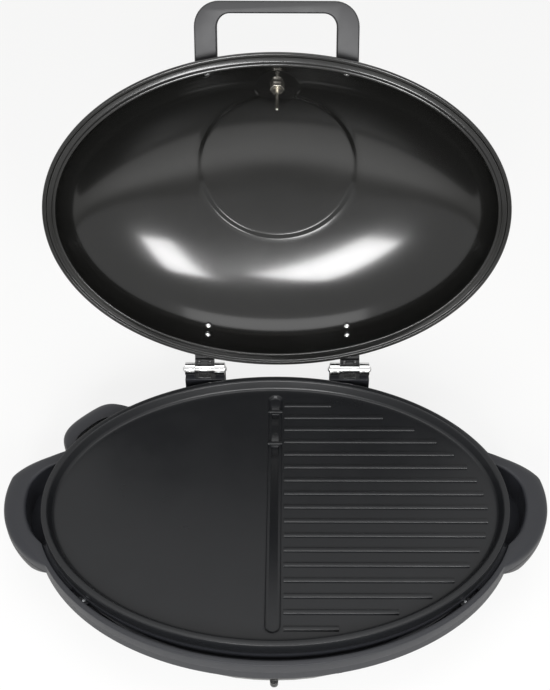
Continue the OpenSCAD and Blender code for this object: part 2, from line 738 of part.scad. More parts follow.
// On the closed lid's own frame z = 0 is the underside of its flange
axis_h = hinge_z - lid_z;
module at_lid_hinge(side) {
    translate([side * hinge_x, hinge_y, axis_h]) children();
}
leaf_thick = 1.8;
leaf_reach = 15;
arm_top = inner_knuckle_r - leaf_thick - 0.1;
arm_low = -1.2;                           // underside of the arm beside the knuckle
rivet_x = 6;
rivet_y = -9.3;
rivet_d = 3;
module lid_leaf(side) {
    tongue_w = 14;
    color(chrome) on_lid() at_lid_hinge(side) difference() {
        union() {
            translate([-arm_w / 2, 0, 0]) rotate([0, 90, 0]) cylinder(r = inner_knuckle_r, h = arm_w);
            // leaf on top of the bracket's arm
            translate([-arm_w / 2, -leaf_reach, inner_knuckle_r - leaf_thick])
                cube([arm_w, leaf_reach, leaf_thick]);
            // tongue that meets the stop wall
            rotate([tongue_at + lid_open, 0, 0]) translate([-tongue_w / 2, 0, -tongue_t / 2])
                cube([tongue_w, tongue_l, tongue_t]);
        }
        translate([-hinge_w, 0, 0]) rotate([0, 90, 0])
            cylinder(d = hinge_pin_d + 2 * run_gap, h = 2 * hinge_w);
        for (x = [-rivet_x, rivet_x]) translate([x, rivet_y, 0])
            cylinder(d = rivet_d + 2 * screw_gap, h = 10);
    }
}
module left_lid_leaf() { lid_leaf(-1); }
module right_lid_leaf() { lid_leaf(1); }
module lid_leaf_rivets() {
    shank = arm_top + 0.1 + leaf_thick - arm_low;
    color(chrome) on_lid() for (side = [-1, 1], x = [-rivet_x, rivet_x]) at_lid_hinge(side)
        translate([x, rivet_y, arm_low]) {
            cylinder(d = rivet_d, h = shank + 0.5);
            for (end = [0, 1]) translate([0, 0, end == 1 ? shank + 0.1 : -0.1]) mirror([0, 0, 1 - end])
                rotate_extrude() intersection() {
                    translate([0, -1.6]) circle(r = 3);
                    square([3, 1.4]);
                }
        }
}

// ---- Dome ----
dome_a = lid_a - flange_w;
dome_b = lid_b - flange_w;
// Height of the dome over a point of its plan; off is the distance outside its inner face
function dome_rho(p, off) = norm([p.x / (dome_a + off), p.y / (dome_b + off)]);
function dome_z(p, off) =
    (dome_h + off) * pow(max(0, 1 - pow(min(1, dome_rho(p, off)), dome_power)), 1 / dome_power);
// Its outward normal there
function dome_normal(p, off) =
    let (a = dome_a + off, b = dome_b + off, h = dome_h + off,
         k = pow(dome_rho(p, off), dome_power - 2),
         n = [k * p.x / (a * a), k * p.y / (b * b), pow(dome_z(p, off) / h, dome_power - 1) / h])
    n / norm(n);
// Rings run from the rim's oval to the crown's circle
function dome_ring(k, off, lift, r) =
    [for (i = [0 : oval_steps - 1])
        let (t = 360 * i / oval_steps,
             rim = [(dome_a + off) * cos(t), (dome_b + off) * sin(t)],
             disc = [r * cos(t), r * sin(t) - disc_fore],
             p = rim + (disc - rim) * k)
        [p.x, p.y, dome_z(p, off) + lift]];
crown = [for (share = [0.12, 0.45, 0.8]) share * disc_r];
dome_rings = 11;
dome_steps = [for (i = [dome_rings : -1 : 1]) pow(i / dome_rings, 2.3)];
roll_h = 2.4;                             // height of the rolled edge above the flange
function flange_ring(out, z) =
    at_height([for (i = [0 : oval_steps - 1])
        oval_point(dome_a, dome_b, 360 * i / oval_steps, out)], z);
// Turns children from +Z onto the dome's normal at p, with their origin on its face
module on_dome(p, off) {
    n = dome_normal(p, off);
    translate([p.x, p.y, dome_z(p, off)])
        rotate([0, acos(n.z), atan2(n.y, n.x)]) children();
}
// The point of the dome's plan at x that lies z high, behind the middle
function wall_point(x, z) =
    let (rho = pow(1 - pow(z / dome_h, dome_power), 1 / dome_power))
    [x, dome_b * sqrt(rho * rho - pow(x / dome_a, 2))];
// The outer face of the dome as a solid
module dome_body(off) {
    loft(concat(
        [flange_ring(off, 0), flange_ring(off, 4)],
        [for (i = [len(dome_steps) - 1 : -1 : 0]) dome_ring(dome_steps[i], off, 0, disc_r + 1.5)]));
}
gauge_p = [0, -gauge_fore];
dome_fit = 0.15;                          // between the dome and what is screwed to it
head_fit = 0.38;                          // between the dome's curved inner face and a bolt's head
bolt_d = 4;
bolt_head_d = 7;
bolt_head_h = 2.2;
nut_h = 3.2;
bracket_x = hinge_x - 2.5;
bracket_levels = [18, 32];                // heights of its bolts above the flange
bracket_plate = 4;
grip_root_z = 25;                         // height of the handle's roots above the flange
grip_x = (grip_w - grip_leg) / 2;
grip_y = wall_point(grip_x, grip_root_z).y + lid_t;
function grip_point(side) = [side * grip_x, -wall_point(grip_x, grip_root_z).y];
// Each bolt of the lid brackets stands square to the dome
module at_bracket_bolts(side) {
    for (z = bracket_levels) on_dome(wall_point(side * bracket_x, z), lid_t) children();
}
module lid_shell() {
    color(enamel) on_lid() difference() {
        union() {
            loft(concat(
                // inner face, from the crown down
                [for (r = crown) dome_ring(1, 0, disc_step, r)],
                [dome_ring(1, 0, disc_step, disc_r - 1.5)],
                [for (k = dome_steps) dome_ring(k, 0, 0, disc_r + 1.5)],
                // flange and rolled edge
                [flange_ring(0, 3), flange_ring(0.4, 0.4), flange_ring(1, 0)],
                [flange_ring(flange_w - 0.6, 0), flange_ring(flange_w, 0.6)],
                [flange_ring(flange_w, lid_t + roll_h - 0.6)],
                [flange_ring(flange_w - 0.8, lid_t + roll_h)],
                [flange_ring(flange_w - 2.4, lid_t + roll_h)],
                [flange_ring(flange_w - 2.4, lid_t), flange_ring(4, lid_t), flange_ring(lid_t, 4)],
                // outer face, back up to the crown
                [for (i = [len(dome_steps) - 1 : -1 : 0])
                    dome_ring(dome_steps[i], lid_t, 0, disc_r + 1.5)],
                [dome_ring(1, lid_t, disc_step, disc_r - 1.5)],
                [for (i = [len(crown) - 1 : -1 : 0]) dome_ring(1, lid_t, disc_step, crown[i])]));
            // raised flat seat of the thermometer
            on_dome(gauge_p, lid_t) translate([0, 0, -seat_t]) cylinder(r = seat_r, h = seat_t);
        }
        on_dome(gauge_p, lid_t) {
            cylinder(r = seat_r, h = 20);
            translate([0, 0, -20]) cylinder(r = stem_r + screw_gap, h = 30);
            translate([0, 0, -20]) cylinder(r = seat_r - lid_t, h = 20 - lid_t);
        }
        for (side = [-1, 1]) {
            at_bracket_bolts(side) translate([0, 0, -8]) cylinder(d = bolt_d + 2 * screw_gap, h = 16);
            on_dome(grip_point(side), lid_t) translate([0, 0, -8])
                cylinder(d = bolt_d + 2 * screw_gap, h = 16);
        }
    }
}
seat_t = 6;
module lid_bracket(side) {
    low = wall_point(bracket_x, bracket_levels[0]);
    reach = hinge_y - low.y;
    arm_high = lid_t + roll_h + dome_fit - axis_h;
    arm_front = hinge_y - lid_b * sqrt(1 - pow((hinge_x - arm_w / 2) / lid_a, 2)) - seat_gap;
    knuckle_face = -inner_knuckle_r - 0.5;
    color(iron) on_lid() difference() {
        union() {
            at_lid_hinge(side) translate([-arm_w / 2, 0, 0]) rotate([90, 0, 90])
                linear_extrude(arm_w) polygon([
                    [knuckle_face, arm_low], [knuckle_face, arm_top],
                    [-reach + 12, arm_top], [-reach + 9, arm_top + 3], [-reach + 6, arm_top + 14],
                    [-reach - 8, arm_top + 14], [-reach - 8, arm_high],
                    [-arm_front, arm_high], [-arm_front + 1, arm_low]]);
            for (z = bracket_levels) on_dome(wall_point(side * bracket_x, z), lid_t)
                translate([0, 0, -3]) cylinder(r = arm_w / 2 - 1, h = bracket_plate + 3);
        }
        dome_body(lid_t + dome_fit);
        // flats under the nuts
        at_bracket_bolts(side) translate([0, 0, bracket_plate]) cylinder(r = arm_w / 2, h = 30);
        at_bracket_bolts(side) translate([0, 0, -8]) cylinder(d = bolt_d + 2 * screw_gap, h = 60);
        for (x = [-rivet_x, rivet_x]) at_lid_hinge(side) translate([x, rivet_y, -10])
            cylinder(d = rivet_d + 2 * screw_gap, h = 20);
    }
}
module left_lid_bracket() { lid_bracket(-1); }
module right_lid_bracket() { lid_bracket(1); }
// Bolt from inside the dome; its head lies on the inner face
module dome_bolt(reach) {
    translate([0, 0, -lid_t - head_fit]) {
        cylinder(d = bolt_d, h = lid_t + head_fit + reach);
        mirror([0, 0, 1]) rotate_extrude() intersection() {
            translate([0, bolt_head_h - bolt_head_d * 0.7]) circle(r = bolt_head_d * 0.7);
            square([bolt_head_d / 2, bolt_head_h]);
        }
    }
}
module lid_bracket_bolts() {
    color(chrome) on_lid() for (side = [-1, 1]) at_bracket_bolts(side)
        dome_bolt(bracket_plate + nut_h + 1.5);
}
module hex_nut(across, bore, h) {
    difference() {
        cylinder(d = across / cos(30), h = h, $fn = 6);
        translate([0, 0, -1]) cylinder(d = bore, h = h + 2);
    }
}
module lid_bracket_nuts() {
    color(steel) on_lid() for (side = [-1, 1]) at_bracket_bolts(side)
        translate([0, 0, bracket_plate + 0.1]) hex_nut(7, bolt_d + 0.1, nut_h);
}

// ---- Lid handle ----
function arc(c, r, from, to, steps = 10) =
    [for (i = [0 : steps]) let (a = from + (to - from) * i / steps) c + r * [cos(a), sin(a)]];
grip_outer_r = 24;
grip_inner_r = 13;
grip_root = 22;                           // the legs start this far behind their roots
// One edge of the U-shaped handle, seen from above, from its right root to its left
function grip_edge(half_w, l, r) = concat(
    [[half_w, grip_root]],
    arc([half_w - r, r - l], r, 0, -90), arc([r - half_w, r - l], r, -90, -180),
    [[-half_w, grip_root]]);
function grip_outer(inset) = grip_edge(grip_w / 2 - inset, grip_l - inset, grip_outer_r - inset);
function grip_inner(inset) =
    grip_edge(grip_w / 2 - grip_leg + inset, grip_l - grip_bar + inset, grip_inner_r + inset);
module at_grip() {
    translate([0, -grip_y, grip_root_z]) rotate([-grip_tilt, 0, 0]) children();
}
grip_screw_l = 16;
module lid_handle() {
    bevel = 1.2;
    half = grip_t / 2;
    // corners of the bar's section: inset and height
    corners = [[bevel, -half], [0, bevel - half], [0, half - bevel], [bevel, half]];
    outer = [for (c = corners) at_height(grip_outer(c[0]), c[1])];
    inner = [for (c = backwards(corners)) at_height(grip_inner(c[0]), c[1])];
    edges = concat(outer, inner);
    color(charcoal) on_lid() difference() {
        at_grip() loft([for (i = [0 : len(outer[0]) - 1]) [for (e = edges) e[i]]]);
        dome_body(lid_t + dome_fit);
        for (side = [-1, 1]) on_dome(grip_point(side), lid_t)
            translate([0, 0, -3]) cylinder(d = bolt_d + 2 * screw_gap, h = grip_screw_l + 4);
    }
}
module lid_handle_screws() {
    color(chrome) on_lid() for (side = [-1, 1]) on_dome(grip_point(side), lid_t)
        dome_bolt(grip_screw_l);
}

// ---- Thermometer ----
// Its own frame stands on the raised seat: Z points out of the dome
gasket_t = 1;
case_wall = 1.2;
bezel_h = 3;
dial_z = gasket_t + case_wall + 2;
hub_r = 2.2;
shaft_d = 1.6;
pointer_t = 0.6;
pointer_z = dial_z + 0.8 + 0.5;
lens_z = gasket_t + gauge_h;
nut_across = 13;
gauge_nut_h = 6;
rod_d = 3.5;
module on_gauge() {
    on_lid() on_dome(gauge_p, lid_t) rotate([0, 0, 90]) children();
}
module thermometer_gasket() {
    color(rubber) on_gauge() translate([0, 0, 0.05]) difference() {
        cylinder(r = seat_r - 3, h = gasket_t - 0.1);
        translate([0, 0, -1]) cylinder(r = stem_r + screw_gap, h = gasket_t + 2);
    }
}
module thermometer_case() {
    r = gauge_r - case_wall;
    color(steel) on_gauge() translate([0, 0, gasket_t]) difference() {
        cylinder(r = r, h = gauge_h);
        translate([0, 0, case_wall]) cylinder(r = r - case_wall, h = gauge_h);
        translate([0, 0, -1]) cylinder(r = stem_r - 1, h = 5);
    }
}
module thermometer_bezel() {
    r = gauge_r - case_wall;
    color(chrome) on_gauge() translate([0, 0, lens_z]) rotate_extrude() polygon([
        [r + 0.05, 0.5 - bezel_h], [gauge_r, 0.5 - bezel_h], [gauge_r, 1], [gauge_r - 1.4, 2.6],
        [gauge_r - 3.4, 2.6], [gauge_r - 4.6, 1.45], [gauge_r - 2.6, 1.45], [gauge_r - 2.6, 0.05],
        [r + 0.05, 0.05]]);
}
module thermometer_lens() {
    color([0.8, 0.9, 0.9]) on_gauge() translate([0, 0, lens_z + 0.05])
        cylinder(r = gauge_r - 2.7, h = 1.3);
}
module thermometer_dial() {
    color([0.93, 0.93, 0.9]) on_gauge() difference() {
        union() {
            translate([0, 0, dial_z]) cylinder(r = gauge_r - 2 * case_wall - 0.2, h = 0.8);
            // spacer on the case's floor
            translate([0, 0, gasket_t + case_wall + 0.05])
                cylinder(r = stem_r + 2, h = dial_z - gasket_t - case_wall);
        }
        translate([0, 0, gasket_t]) cylinder(d = 2 * shaft_d, h = 10);
    }
}
module thermometer_pointer() {
    long = gauge_r - 9;
    color([0.75, 0.1, 0.08]) on_gauge() translate([0, 0, pointer_z]) difference() {
        union() {
            cylinder(r = hub_r, h = pointer_t + 0.8);
            rotate([0, 0, 225]) linear_extrude(pointer_t)
                polygon([[-6, -1], [0, -1.1], [long, -0.25], [long, 0.25], [0, 1.1], [-6, 1]]);
        }
        translate([0, 0, -1]) cylinder(d = shaft_d + 2 * run_gap, h = 5);
    }
}
module thermometer_stem() {
    color(steel) on_gauge() {
        translate([0, 0, -lid_t - gauge_nut_h - 1.5]) cylinder(r = stem_r, h = lid_t
            + gauge_nut_h + 1.5 + gasket_t - 0.05);
        // shaft that carries the pointer
        cylinder(d = shaft_d, h = pointer_z + pointer_t + 1.2);
        translate([0, 0, pointer_z - 0.3]) mirror([0, 0, 1]) cylinder(r = 1.2, h = 1);
        translate([0, 0, -probe_l - lid_t]) cylinder(d = rod_d, h = probe_l);
        translate([0, 0, -probe_l - lid_t]) sphere(d = rod_d);
    }
}
module thermometer_nut() {
    color(chrome) on_gauge() translate([0, 0, -lid_t - 0.1]) mirror([0, 0, 1])
        hex_nut(nut_across, 2 * stem_r + 0.1, gauge_nut_h);
}

upper_housing();
lower_housing();
left_handle_cover();
right_handle_cover();
housing_screws();
handle_cover_screws();
rubber_feet();
hotplate();
heating_element();
terminal_block();
inlet_pins();
sensor_sleeve();
reflector_pan();
drip_tray();
left_hinge_block();
right_hinge_block();
left_base_leaf();
right_base_leaf();
base_leaf_screws();
left_hinge_pin();
right_hinge_pin();
left_lid_leaf();
right_lid_leaf();
left_lid_bracket();
right_lid_bracket();
lid_leaf_rivets();
lid_bracket_bolts();
lid_bracket_nuts();
lid_shell();
lid_handle();
lid_handle_screws();
thermometer_gasket();
thermometer_case();
thermometer_bezel();
thermometer_dial();
thermometer_lens();
thermometer_pointer();
thermometer_stem();
thermometer_nut();
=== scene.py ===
"""Dresses an oval indoor grill with a domed lid: surfaces, fine forms, light and camera."""

import logging
import math
from dataclasses import dataclass
from enum import Enum
from functools import cache, partial
from typing import Iterable, Sequence

import bmesh
import bpy
from mathutils import Matrix, Vector


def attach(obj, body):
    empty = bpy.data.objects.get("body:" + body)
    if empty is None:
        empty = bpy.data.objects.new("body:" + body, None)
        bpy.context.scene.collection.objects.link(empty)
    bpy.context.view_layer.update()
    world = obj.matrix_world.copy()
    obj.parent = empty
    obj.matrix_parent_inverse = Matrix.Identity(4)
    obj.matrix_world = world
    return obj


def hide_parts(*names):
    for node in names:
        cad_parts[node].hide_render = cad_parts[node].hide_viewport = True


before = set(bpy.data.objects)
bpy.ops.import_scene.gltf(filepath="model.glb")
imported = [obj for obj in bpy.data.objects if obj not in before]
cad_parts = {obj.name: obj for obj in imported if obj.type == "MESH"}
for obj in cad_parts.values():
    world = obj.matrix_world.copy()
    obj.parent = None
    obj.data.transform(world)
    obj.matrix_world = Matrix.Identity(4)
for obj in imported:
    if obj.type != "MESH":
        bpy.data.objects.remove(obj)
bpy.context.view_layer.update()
log = logging.getLogger("grill")

MM = 0.001
Point = tuple[float, float, float]
Tree = bpy.types.NodeTree
Node = bpy.types.Node
Socket = bpy.types.NodeSocket
Material = bpy.types.Material
Obj = bpy.types.Object


# ---------------------------------------------------------------- materials
def srgb(code: str) -> tuple[float, float, float, float]:
    """Turns a hex colour into linear light.

    Args:
        code: six hex digits, with or without a hash.

    Returns:
        The linear red, green, blue and an alpha of one.
    """
    code = code.lstrip("#")
    parts = [int(code[i:i + 2], 16) / 255 for i in (0, 2, 4)]
    lin = [c / 12.92 if c <= 0.04045 else ((c + 0.055) / 1.055) ** 2.4 for c in parts]
    return (lin[0], lin[1], lin[2], 1.0)


def put(tree: Tree, value: object, socket: Socket) -> None:
    """Sets an input.

    Args:
        tree: the node tree.
        value: a plain value, a socket, or a node, for which its first output stands.
        socket: the input.
    """
    if isinstance(value, Node):
        value = value.outputs[0]
    if isinstance(value, Socket):
        tree.links.new(value, socket)
    else:
        socket.default_value = value


def add(tree: Tree, kind: str, settings: dict | None = None, **values: object) -> Node:
    """Adds one node with its settings and inputs.

    Args:
        tree: the node tree.
        kind: the node's type name.
        settings: attributes of the node itself.
        **values: what goes into its inputs, with underscores for spaces.

    Returns:
        The new node.
    """
    made = tree.nodes.new(kind)
    for key, value in (settings or {}).items():
        setattr(made, key, value)
    for key, value in values.items():
        put(tree, value, made.inputs[key.replace("_", " ")])
    return made


def calc(tree: Tree, kind: str, *terms: object) -> Socket:
    """Adds one sum of numbers or fields.

    Args:
        tree: the node tree.
        kind: the operation's name.
        *terms: its numbers, sockets or nodes.

    Returns:
        The socket with the result.
    """
    made = add(tree, "ShaderNodeMath", {"operation": kind})
    for term, socket in zip(terms, made.inputs):
        put(tree, term, socket)
    return made.outputs[0]


def blend(tree: Tree, share: object, one: Node, two: Node, end: str) -> None:
    """Mixes two shaders and ends the tree with them.

    Args:
        tree: the node tree.
        share: how much of the second is seen.
        one: the first shader.
        two: the second.
        end: the name of the tree's output node.
    """
    mix = add(tree, "ShaderNodeMixShader")
    for value, socket in zip((share, one, two), mix.inputs):
        put(tree, value, socket)
    put(tree, mix, tree.nodes[end].inputs["Surface"])


def clouds(tree: Tree, where: Socket, mm: float, middle: float, reach: float, detail: float,
           roughness: float) -> Socket:
    """Adds soft clouds of values round a middle one.

    Args:
        tree: the node tree.
        where: the coordinates.
        mm: the clouds' size.
        middle: the middle value.
        reach: how far the values go from it.
        detail: how many finer layers the clouds have.
        roughness: how strong those are.

    Returns:
        The socket with the value.
    """
    noise = add(tree, "ShaderNodeTexNoise", Vector=where, Scale=1000 / mm, Detail=detail,
                Roughness=roughness)
    return add(tree, "ShaderNodeMapRange", Value=noise.outputs["Fac"], From_Min=0.3,
               From_Max=0.7, To_Min=middle - reach, To_Max=middle + reach).outputs["Result"]


@dataclass(frozen=True)
class Finish:
    """A surface: its colour, how it was made, and the fine relief that gives it its look."""
    name: str
    colour: str
    roughness: float = 0.5
    metallic: float = 0.0
    specular: float = 0.5
    coat: float = 0.0
    coat_roughness: float = 0.1
    grain_mm: float = 0.0
    grain_depth_mm: float = 0.0
    mottle: float = 0.0
    mottle_mm: float = 30.0
    rough_spread: float = 0.0
    glass: bool = False

    @cache
    def build(self) -> Material:
        """Makes the node material, once for all pieces."""
        mat = bpy.data.materials.new(self.name)
        mat.use_nodes = True
        tree = mat.node_tree
        shader = tree.nodes["Principled BSDF"]
        base = srgb(self.colour)
        given = {"Base Color": base, "Roughness": self.roughness, "Metallic": self.metallic,
                 "Coat Weight": self.coat, "Coat Roughness": self.coat_roughness}
        if not self.metallic:
            given["Specular IOR Level"] = self.specular
        if self.glass:
            given |= {"Transmission Weight": 1.0, "IOR": 1.5}
        for key, value in given.items():
            shader.inputs[key].default_value = value
        if self.glass:
            return mat
        where = add(tree, "ShaderNodeTexCoord").outputs["Object"]
        if self.mottle:
            shade = add(tree, "ShaderNodeMix", {"data_type": "RGBA", "blend_type": "MULTIPLY"})
            tone = clouds(tree, where, self.mottle_mm, 1.0, self.mottle, 4.0, 0.6)
            for number, value in ((0, 1.0), (6, base), (7, tone)):
                put(tree, value, shade.inputs[number])
            put(tree, shade.outputs[2], shader.inputs["Base Color"])
        if self.rough_spread:
            wear = clouds(tree, where, self.mottle_mm * 0.7, self.roughness, self.rough_spread,
                          5.0, 0.65)
            put(tree, wear, shader.inputs["Roughness"])
        if self.grain_mm:
            grain = add(tree, "ShaderNodeTexNoise", Vector=where, Scale=1000 / self.grain_mm,
                        Detail=2.0, Roughness=0.5)
            bump = add(tree, "ShaderNodeBump", Height=grain.outputs["Fac"], Strength=1.0,
                       Distance=self.grain_depth_mm * MM)
            put(tree, bump, shader.inputs["Normal"])
        return mat


class Surface(Enum):
    """The grill's finishes, each by the name of its real material."""
    # sprayed PTFE over cast aluminium: near black, low sheen, a fine orange peel
    NONSTICK = Finish("PTFE coating on cast aluminium", "#17181a", roughness=0.31, specular=0.3,
                      grain_mm=0.9, grain_depth_mm=0.02, mottle=0.05, mottle_mm=60,
                      rough_spread=0.04)
    # fired enamel: deep and smooth, it mirrors the windows softly
    ENAMEL = Finish("Vitreous enamel on pressed steel", "#121211", roughness=0.21, specular=0.2,
                    coat=0.6, coat_roughness=0.12, grain_mm=1.1, grain_depth_mm=0.006,
                    mottle=0.08, mottle_mm=90, rough_spread=0.03)
    # a duller coat of the same enamel, with the sheet's waviness under it
    TRAY = Finish("Satin enamel on steel", "#1b1b1b", roughness=0.35, coat=0.3,
                  grain_mm=2.0, grain_depth_mm=0.02)
    # spark-eroded mould texture: an even, dull sheen
    HOUSING = Finish("Moulded PBT", "#242529", roughness=0.44, specular=0.35,
                     grain_mm=0.8, grain_depth_mm=0.05, mottle=0.04, mottle_mm=50,
                     rough_spread=0.03)
    # compression-moulded resin: a little smoother than the housing
    PHENOLIC = Finish("Moulded phenolic", "#29292b", roughness=0.42, specular=0.35,
                      grain_mm=0.8, grain_depth_mm=0.04, mottle=0.04, mottle_mm=50,
                      rough_spread=0.03)
    # bright plate: mirrors the studio, only the sheet's waves soften it
    CHROME = Finish("Chrome plate", "#d6d6d6", roughness=0.14, metallic=1.0,
                    grain_mm=3.0, grain_depth_mm=0.01)
    # warmer and duller than chrome
    NICKEL = Finish("Satin nickel plate", "#bdb9b0", roughness=0.26, metallic=1.0,
                    grain_mm=1.5, grain_depth_mm=0.01)
    # grey, with the passivation's faint clouds
    ZINC = Finish("Zinc-plated steel", "#b4b6b8", roughness=0.38, metallic=1.0, mottle=0.06,
                  mottle_mm=4, grain_mm=1.0, grain_depth_mm=0.01)
    # steel browned by heat
    SHEATH = Finish("Heat-tinted steel sheath", "#5a554f", roughness=0.5, metallic=1.0,
                    mottle=0.12, mottle_mm=25, grain_mm=1.0, grain_depth_mm=0.02)
    # cold rolled sheet with a tin coat: a soft mirror with long faint clouds
    TINPLATE = Finish("Rolled tinplate", "#c4c6c8", roughness=0.32, metallic=1.0,
                      grain_mm=2.0, grain_depth_mm=0.02, mottle=0.04)
    # thin black enamel: it rounds the stamped edges and gives a satin gleam
    BRACKET = Finish("Black enamelled steel", "#141415", roughness=0.35, coat=0.2,
                     grain_mm=1.5, grain_depth_mm=0.02)
    # moulded soft: matt, it swallows the light
    RUBBER = Finish("Moulded silicone rubber", "#1a1a1a", roughness=0.75,
                    grain_mm=0.7, grain_depth_mm=0.04)
    # pressed and fired dry: chalky, with fine specks
    STEATITE = Finish("Pressed steatite", "#d8d2c4", roughness=0.6, grain_mm=0.6,
                      grain_depth_mm=0.05, mottle=0.05, mottle_mm=5)
    # rolled plate under a clear lacquer: even and pale
    CARD = Finish("Lacquered aluminium dial", "#ecebe6", roughness=0.45, grain_mm=0.5,
                  grain_depth_mm=0.01)
    # sprayed and baked on a stamped strip: smooth and full of colour
    RED = Finish("Red stove enamel", "#b01c14", roughness=0.35, grain_mm=0.5,
                 grain_depth_mm=0.01)
    # pad-printed: flat and thin
    INK = Finish("Black dial ink", "#1b1b1b", roughness=0.5, grain_mm=0.5, grain_depth_mm=0.005)
    # drawn flat and polished by fire: clear, with a sharp reflection
    GLASS = Finish("Float glass", "#f4fbfb", roughness=0.02, glass=True)


def dress(obj: Obj, surface: Surface) -> None:
    """Gives an object one finish all over."""
    mat = surface.value.build()
    if obj.material_slots:
        for slot in obj.material_slots:
            slot.material = mat
    else:
        obj.data.materials.append(mat)


# the solids' finishes; ROUNDED names those of the solids with rounded edges
NODE_FINISH = {
    Surface.HOUSING: ("upper_housing",),
    Surface.PHENOLIC: ("left_handle_cover", "right_handle_cover"),
    Surface.ZINC: ("handle_cover_screws",),
    Surface.RUBBER: ("rubber_feet", "thermometer_gasket"),
    Surface.NONSTICK: ("hotplate",),
    Surface.SHEATH: ("heating_element",),
    Surface.NICKEL: ("inlet_pins", "sensor_sleeve", "thermometer_stem"),
    Surface.TINPLATE: ("reflector_pan", "thermometer_case"),
    Surface.CHROME: ("base_leaf_screws", "lid_handle_screws"),
    Surface.BRACKET: ("lid_leaf_rivets",),
    Surface.ENAMEL: ("lid_shell",),
    Surface.CARD: ("thermometer_dial",),
    Surface.GLASS: ("thermometer_lens",),
    Surface.RED: ("thermometer_pointer",),
}


# ---------------------------------------------------------------- shapes
# lengths in millimetres, in the hotplate's frame: how far its centre lies before the part's
# centre, the hinge's line, and the height of the lid's edge when closed; the lid's turn is
# in degrees
FORE = 77.0
HINGE_Y, HINGE_Z, LID_Z, LID_OPEN = 175.0, 87.0, 84.3, 106.9


def oval(a: float, b: float, t: float, out: float = 0.0) -> Vector:
    """A point of an oval, moved out along its normal.

    Args:
        a: half the oval's length.
        b: half its depth.
        t: the angle round it, in degrees.
        out: how far the point is moved out.

    Returns:
        The point in the plan, in millimetres.
    """
    c, s = math.cos(math.radians(t)), math.sin(math.radians(t))
    normal = Vector((c / a, s / b)).normalized()
    return Vector((a * c + out * normal.x, b * s + out * normal.y))


@dataclass(frozen=True)
class Swell:
    """A swelling of the outline: 1 at its peak, falling to 0 at each end.

    The peak's angle and the lengths after and before it are in degrees; fill says how full
    each of the two sides is.
    """
    peak: float
    after: float
    before: float
    fill: tuple[float, float]

    def at(self, t: float) -> float:
        """The share of the full reach at an angle."""
        d = (t + 180) % 360 - 180 - self.peak
        s = d / self.after if d > 0 else -d / self.before
        return 0.0 if s >= 1 else 1 - s ** self.fill[0 if d > 0 else 1]

    def both(self, t: float) -> float:
        """The share where the swelling stands on the right and, mirrored, on the left."""
        return max(self.at(t), self.at(180 - t))


def row(points: Iterable[Sequence[float]]) -> list[Vector]:
    """Moves points from the hotplate's own frame to the part's frame, in metres."""
    return [Vector((p[0], p[1] - FORE, p[2])) * MM for p in points]


LID_PLACE = (Matrix.Translation((0, HINGE_Y - FORE, HINGE_Z))
             @ Matrix.Rotation(math.radians(-LID_OPEN), 4, "X")
             @ Matrix.Translation((0, -HINGE_Y, LID_Z - HINGE_Z)))


def on_lid(points: Iterable[Sequence[float]]) -> list[Vector]:
    """Moves points from the closed lid's frame to the open lid, in metres."""
    return [(LID_PLACE @ Vector(p)) * MM for p in points]


# angles in degrees: two faces are one flat below FLAT, an edge is eased above CORNER, and the
# eased edge is shaded sharp above CREASE
FLAT, CORNER, CREASE = 0.6, 32.0, 42.0
# points closer than this are one, in metres
SAME = 2e-6


def arcs(corners: Iterable[Point], r: float, turn: float, count: int, z: float) -> list[Vector]:
    """A closed flat ring made of arcs.

    Args:
        corners: for each arc its centre and the angle at which it starts.
        r: their radius.
        turn: how far each turns, in degrees.
        count: how many chords each has.
        z: the ring's height.

    Returns:
        Its points in the part's frame, in metres.
    """
    points = []
    for x, y, start in corners:
        for i in range(count + 1):
            a = math.radians(start + turn * i / count)
            points.append((x + r * math.cos(a), y + r * math.sin(a), z))
    return row(points)


def linked(name: str, data: bpy.types.ID) -> Obj:
    """A new object in the scene."""
    obj = bpy.data.objects.new(name, data)
    bpy.context.collection.objects.link(obj)
    return obj


def bake(obj: Obj) -> None:
    """Keeps the mesh that an object's modifiers make, and takes the modifiers off."""
    graph = bpy.context.evaluated_depsgraph_get()
    mesh = bpy.data.meshes.new_from_object(obj.evaluated_get(graph))
    obj.modifiers.clear()
    obj.data = mesh


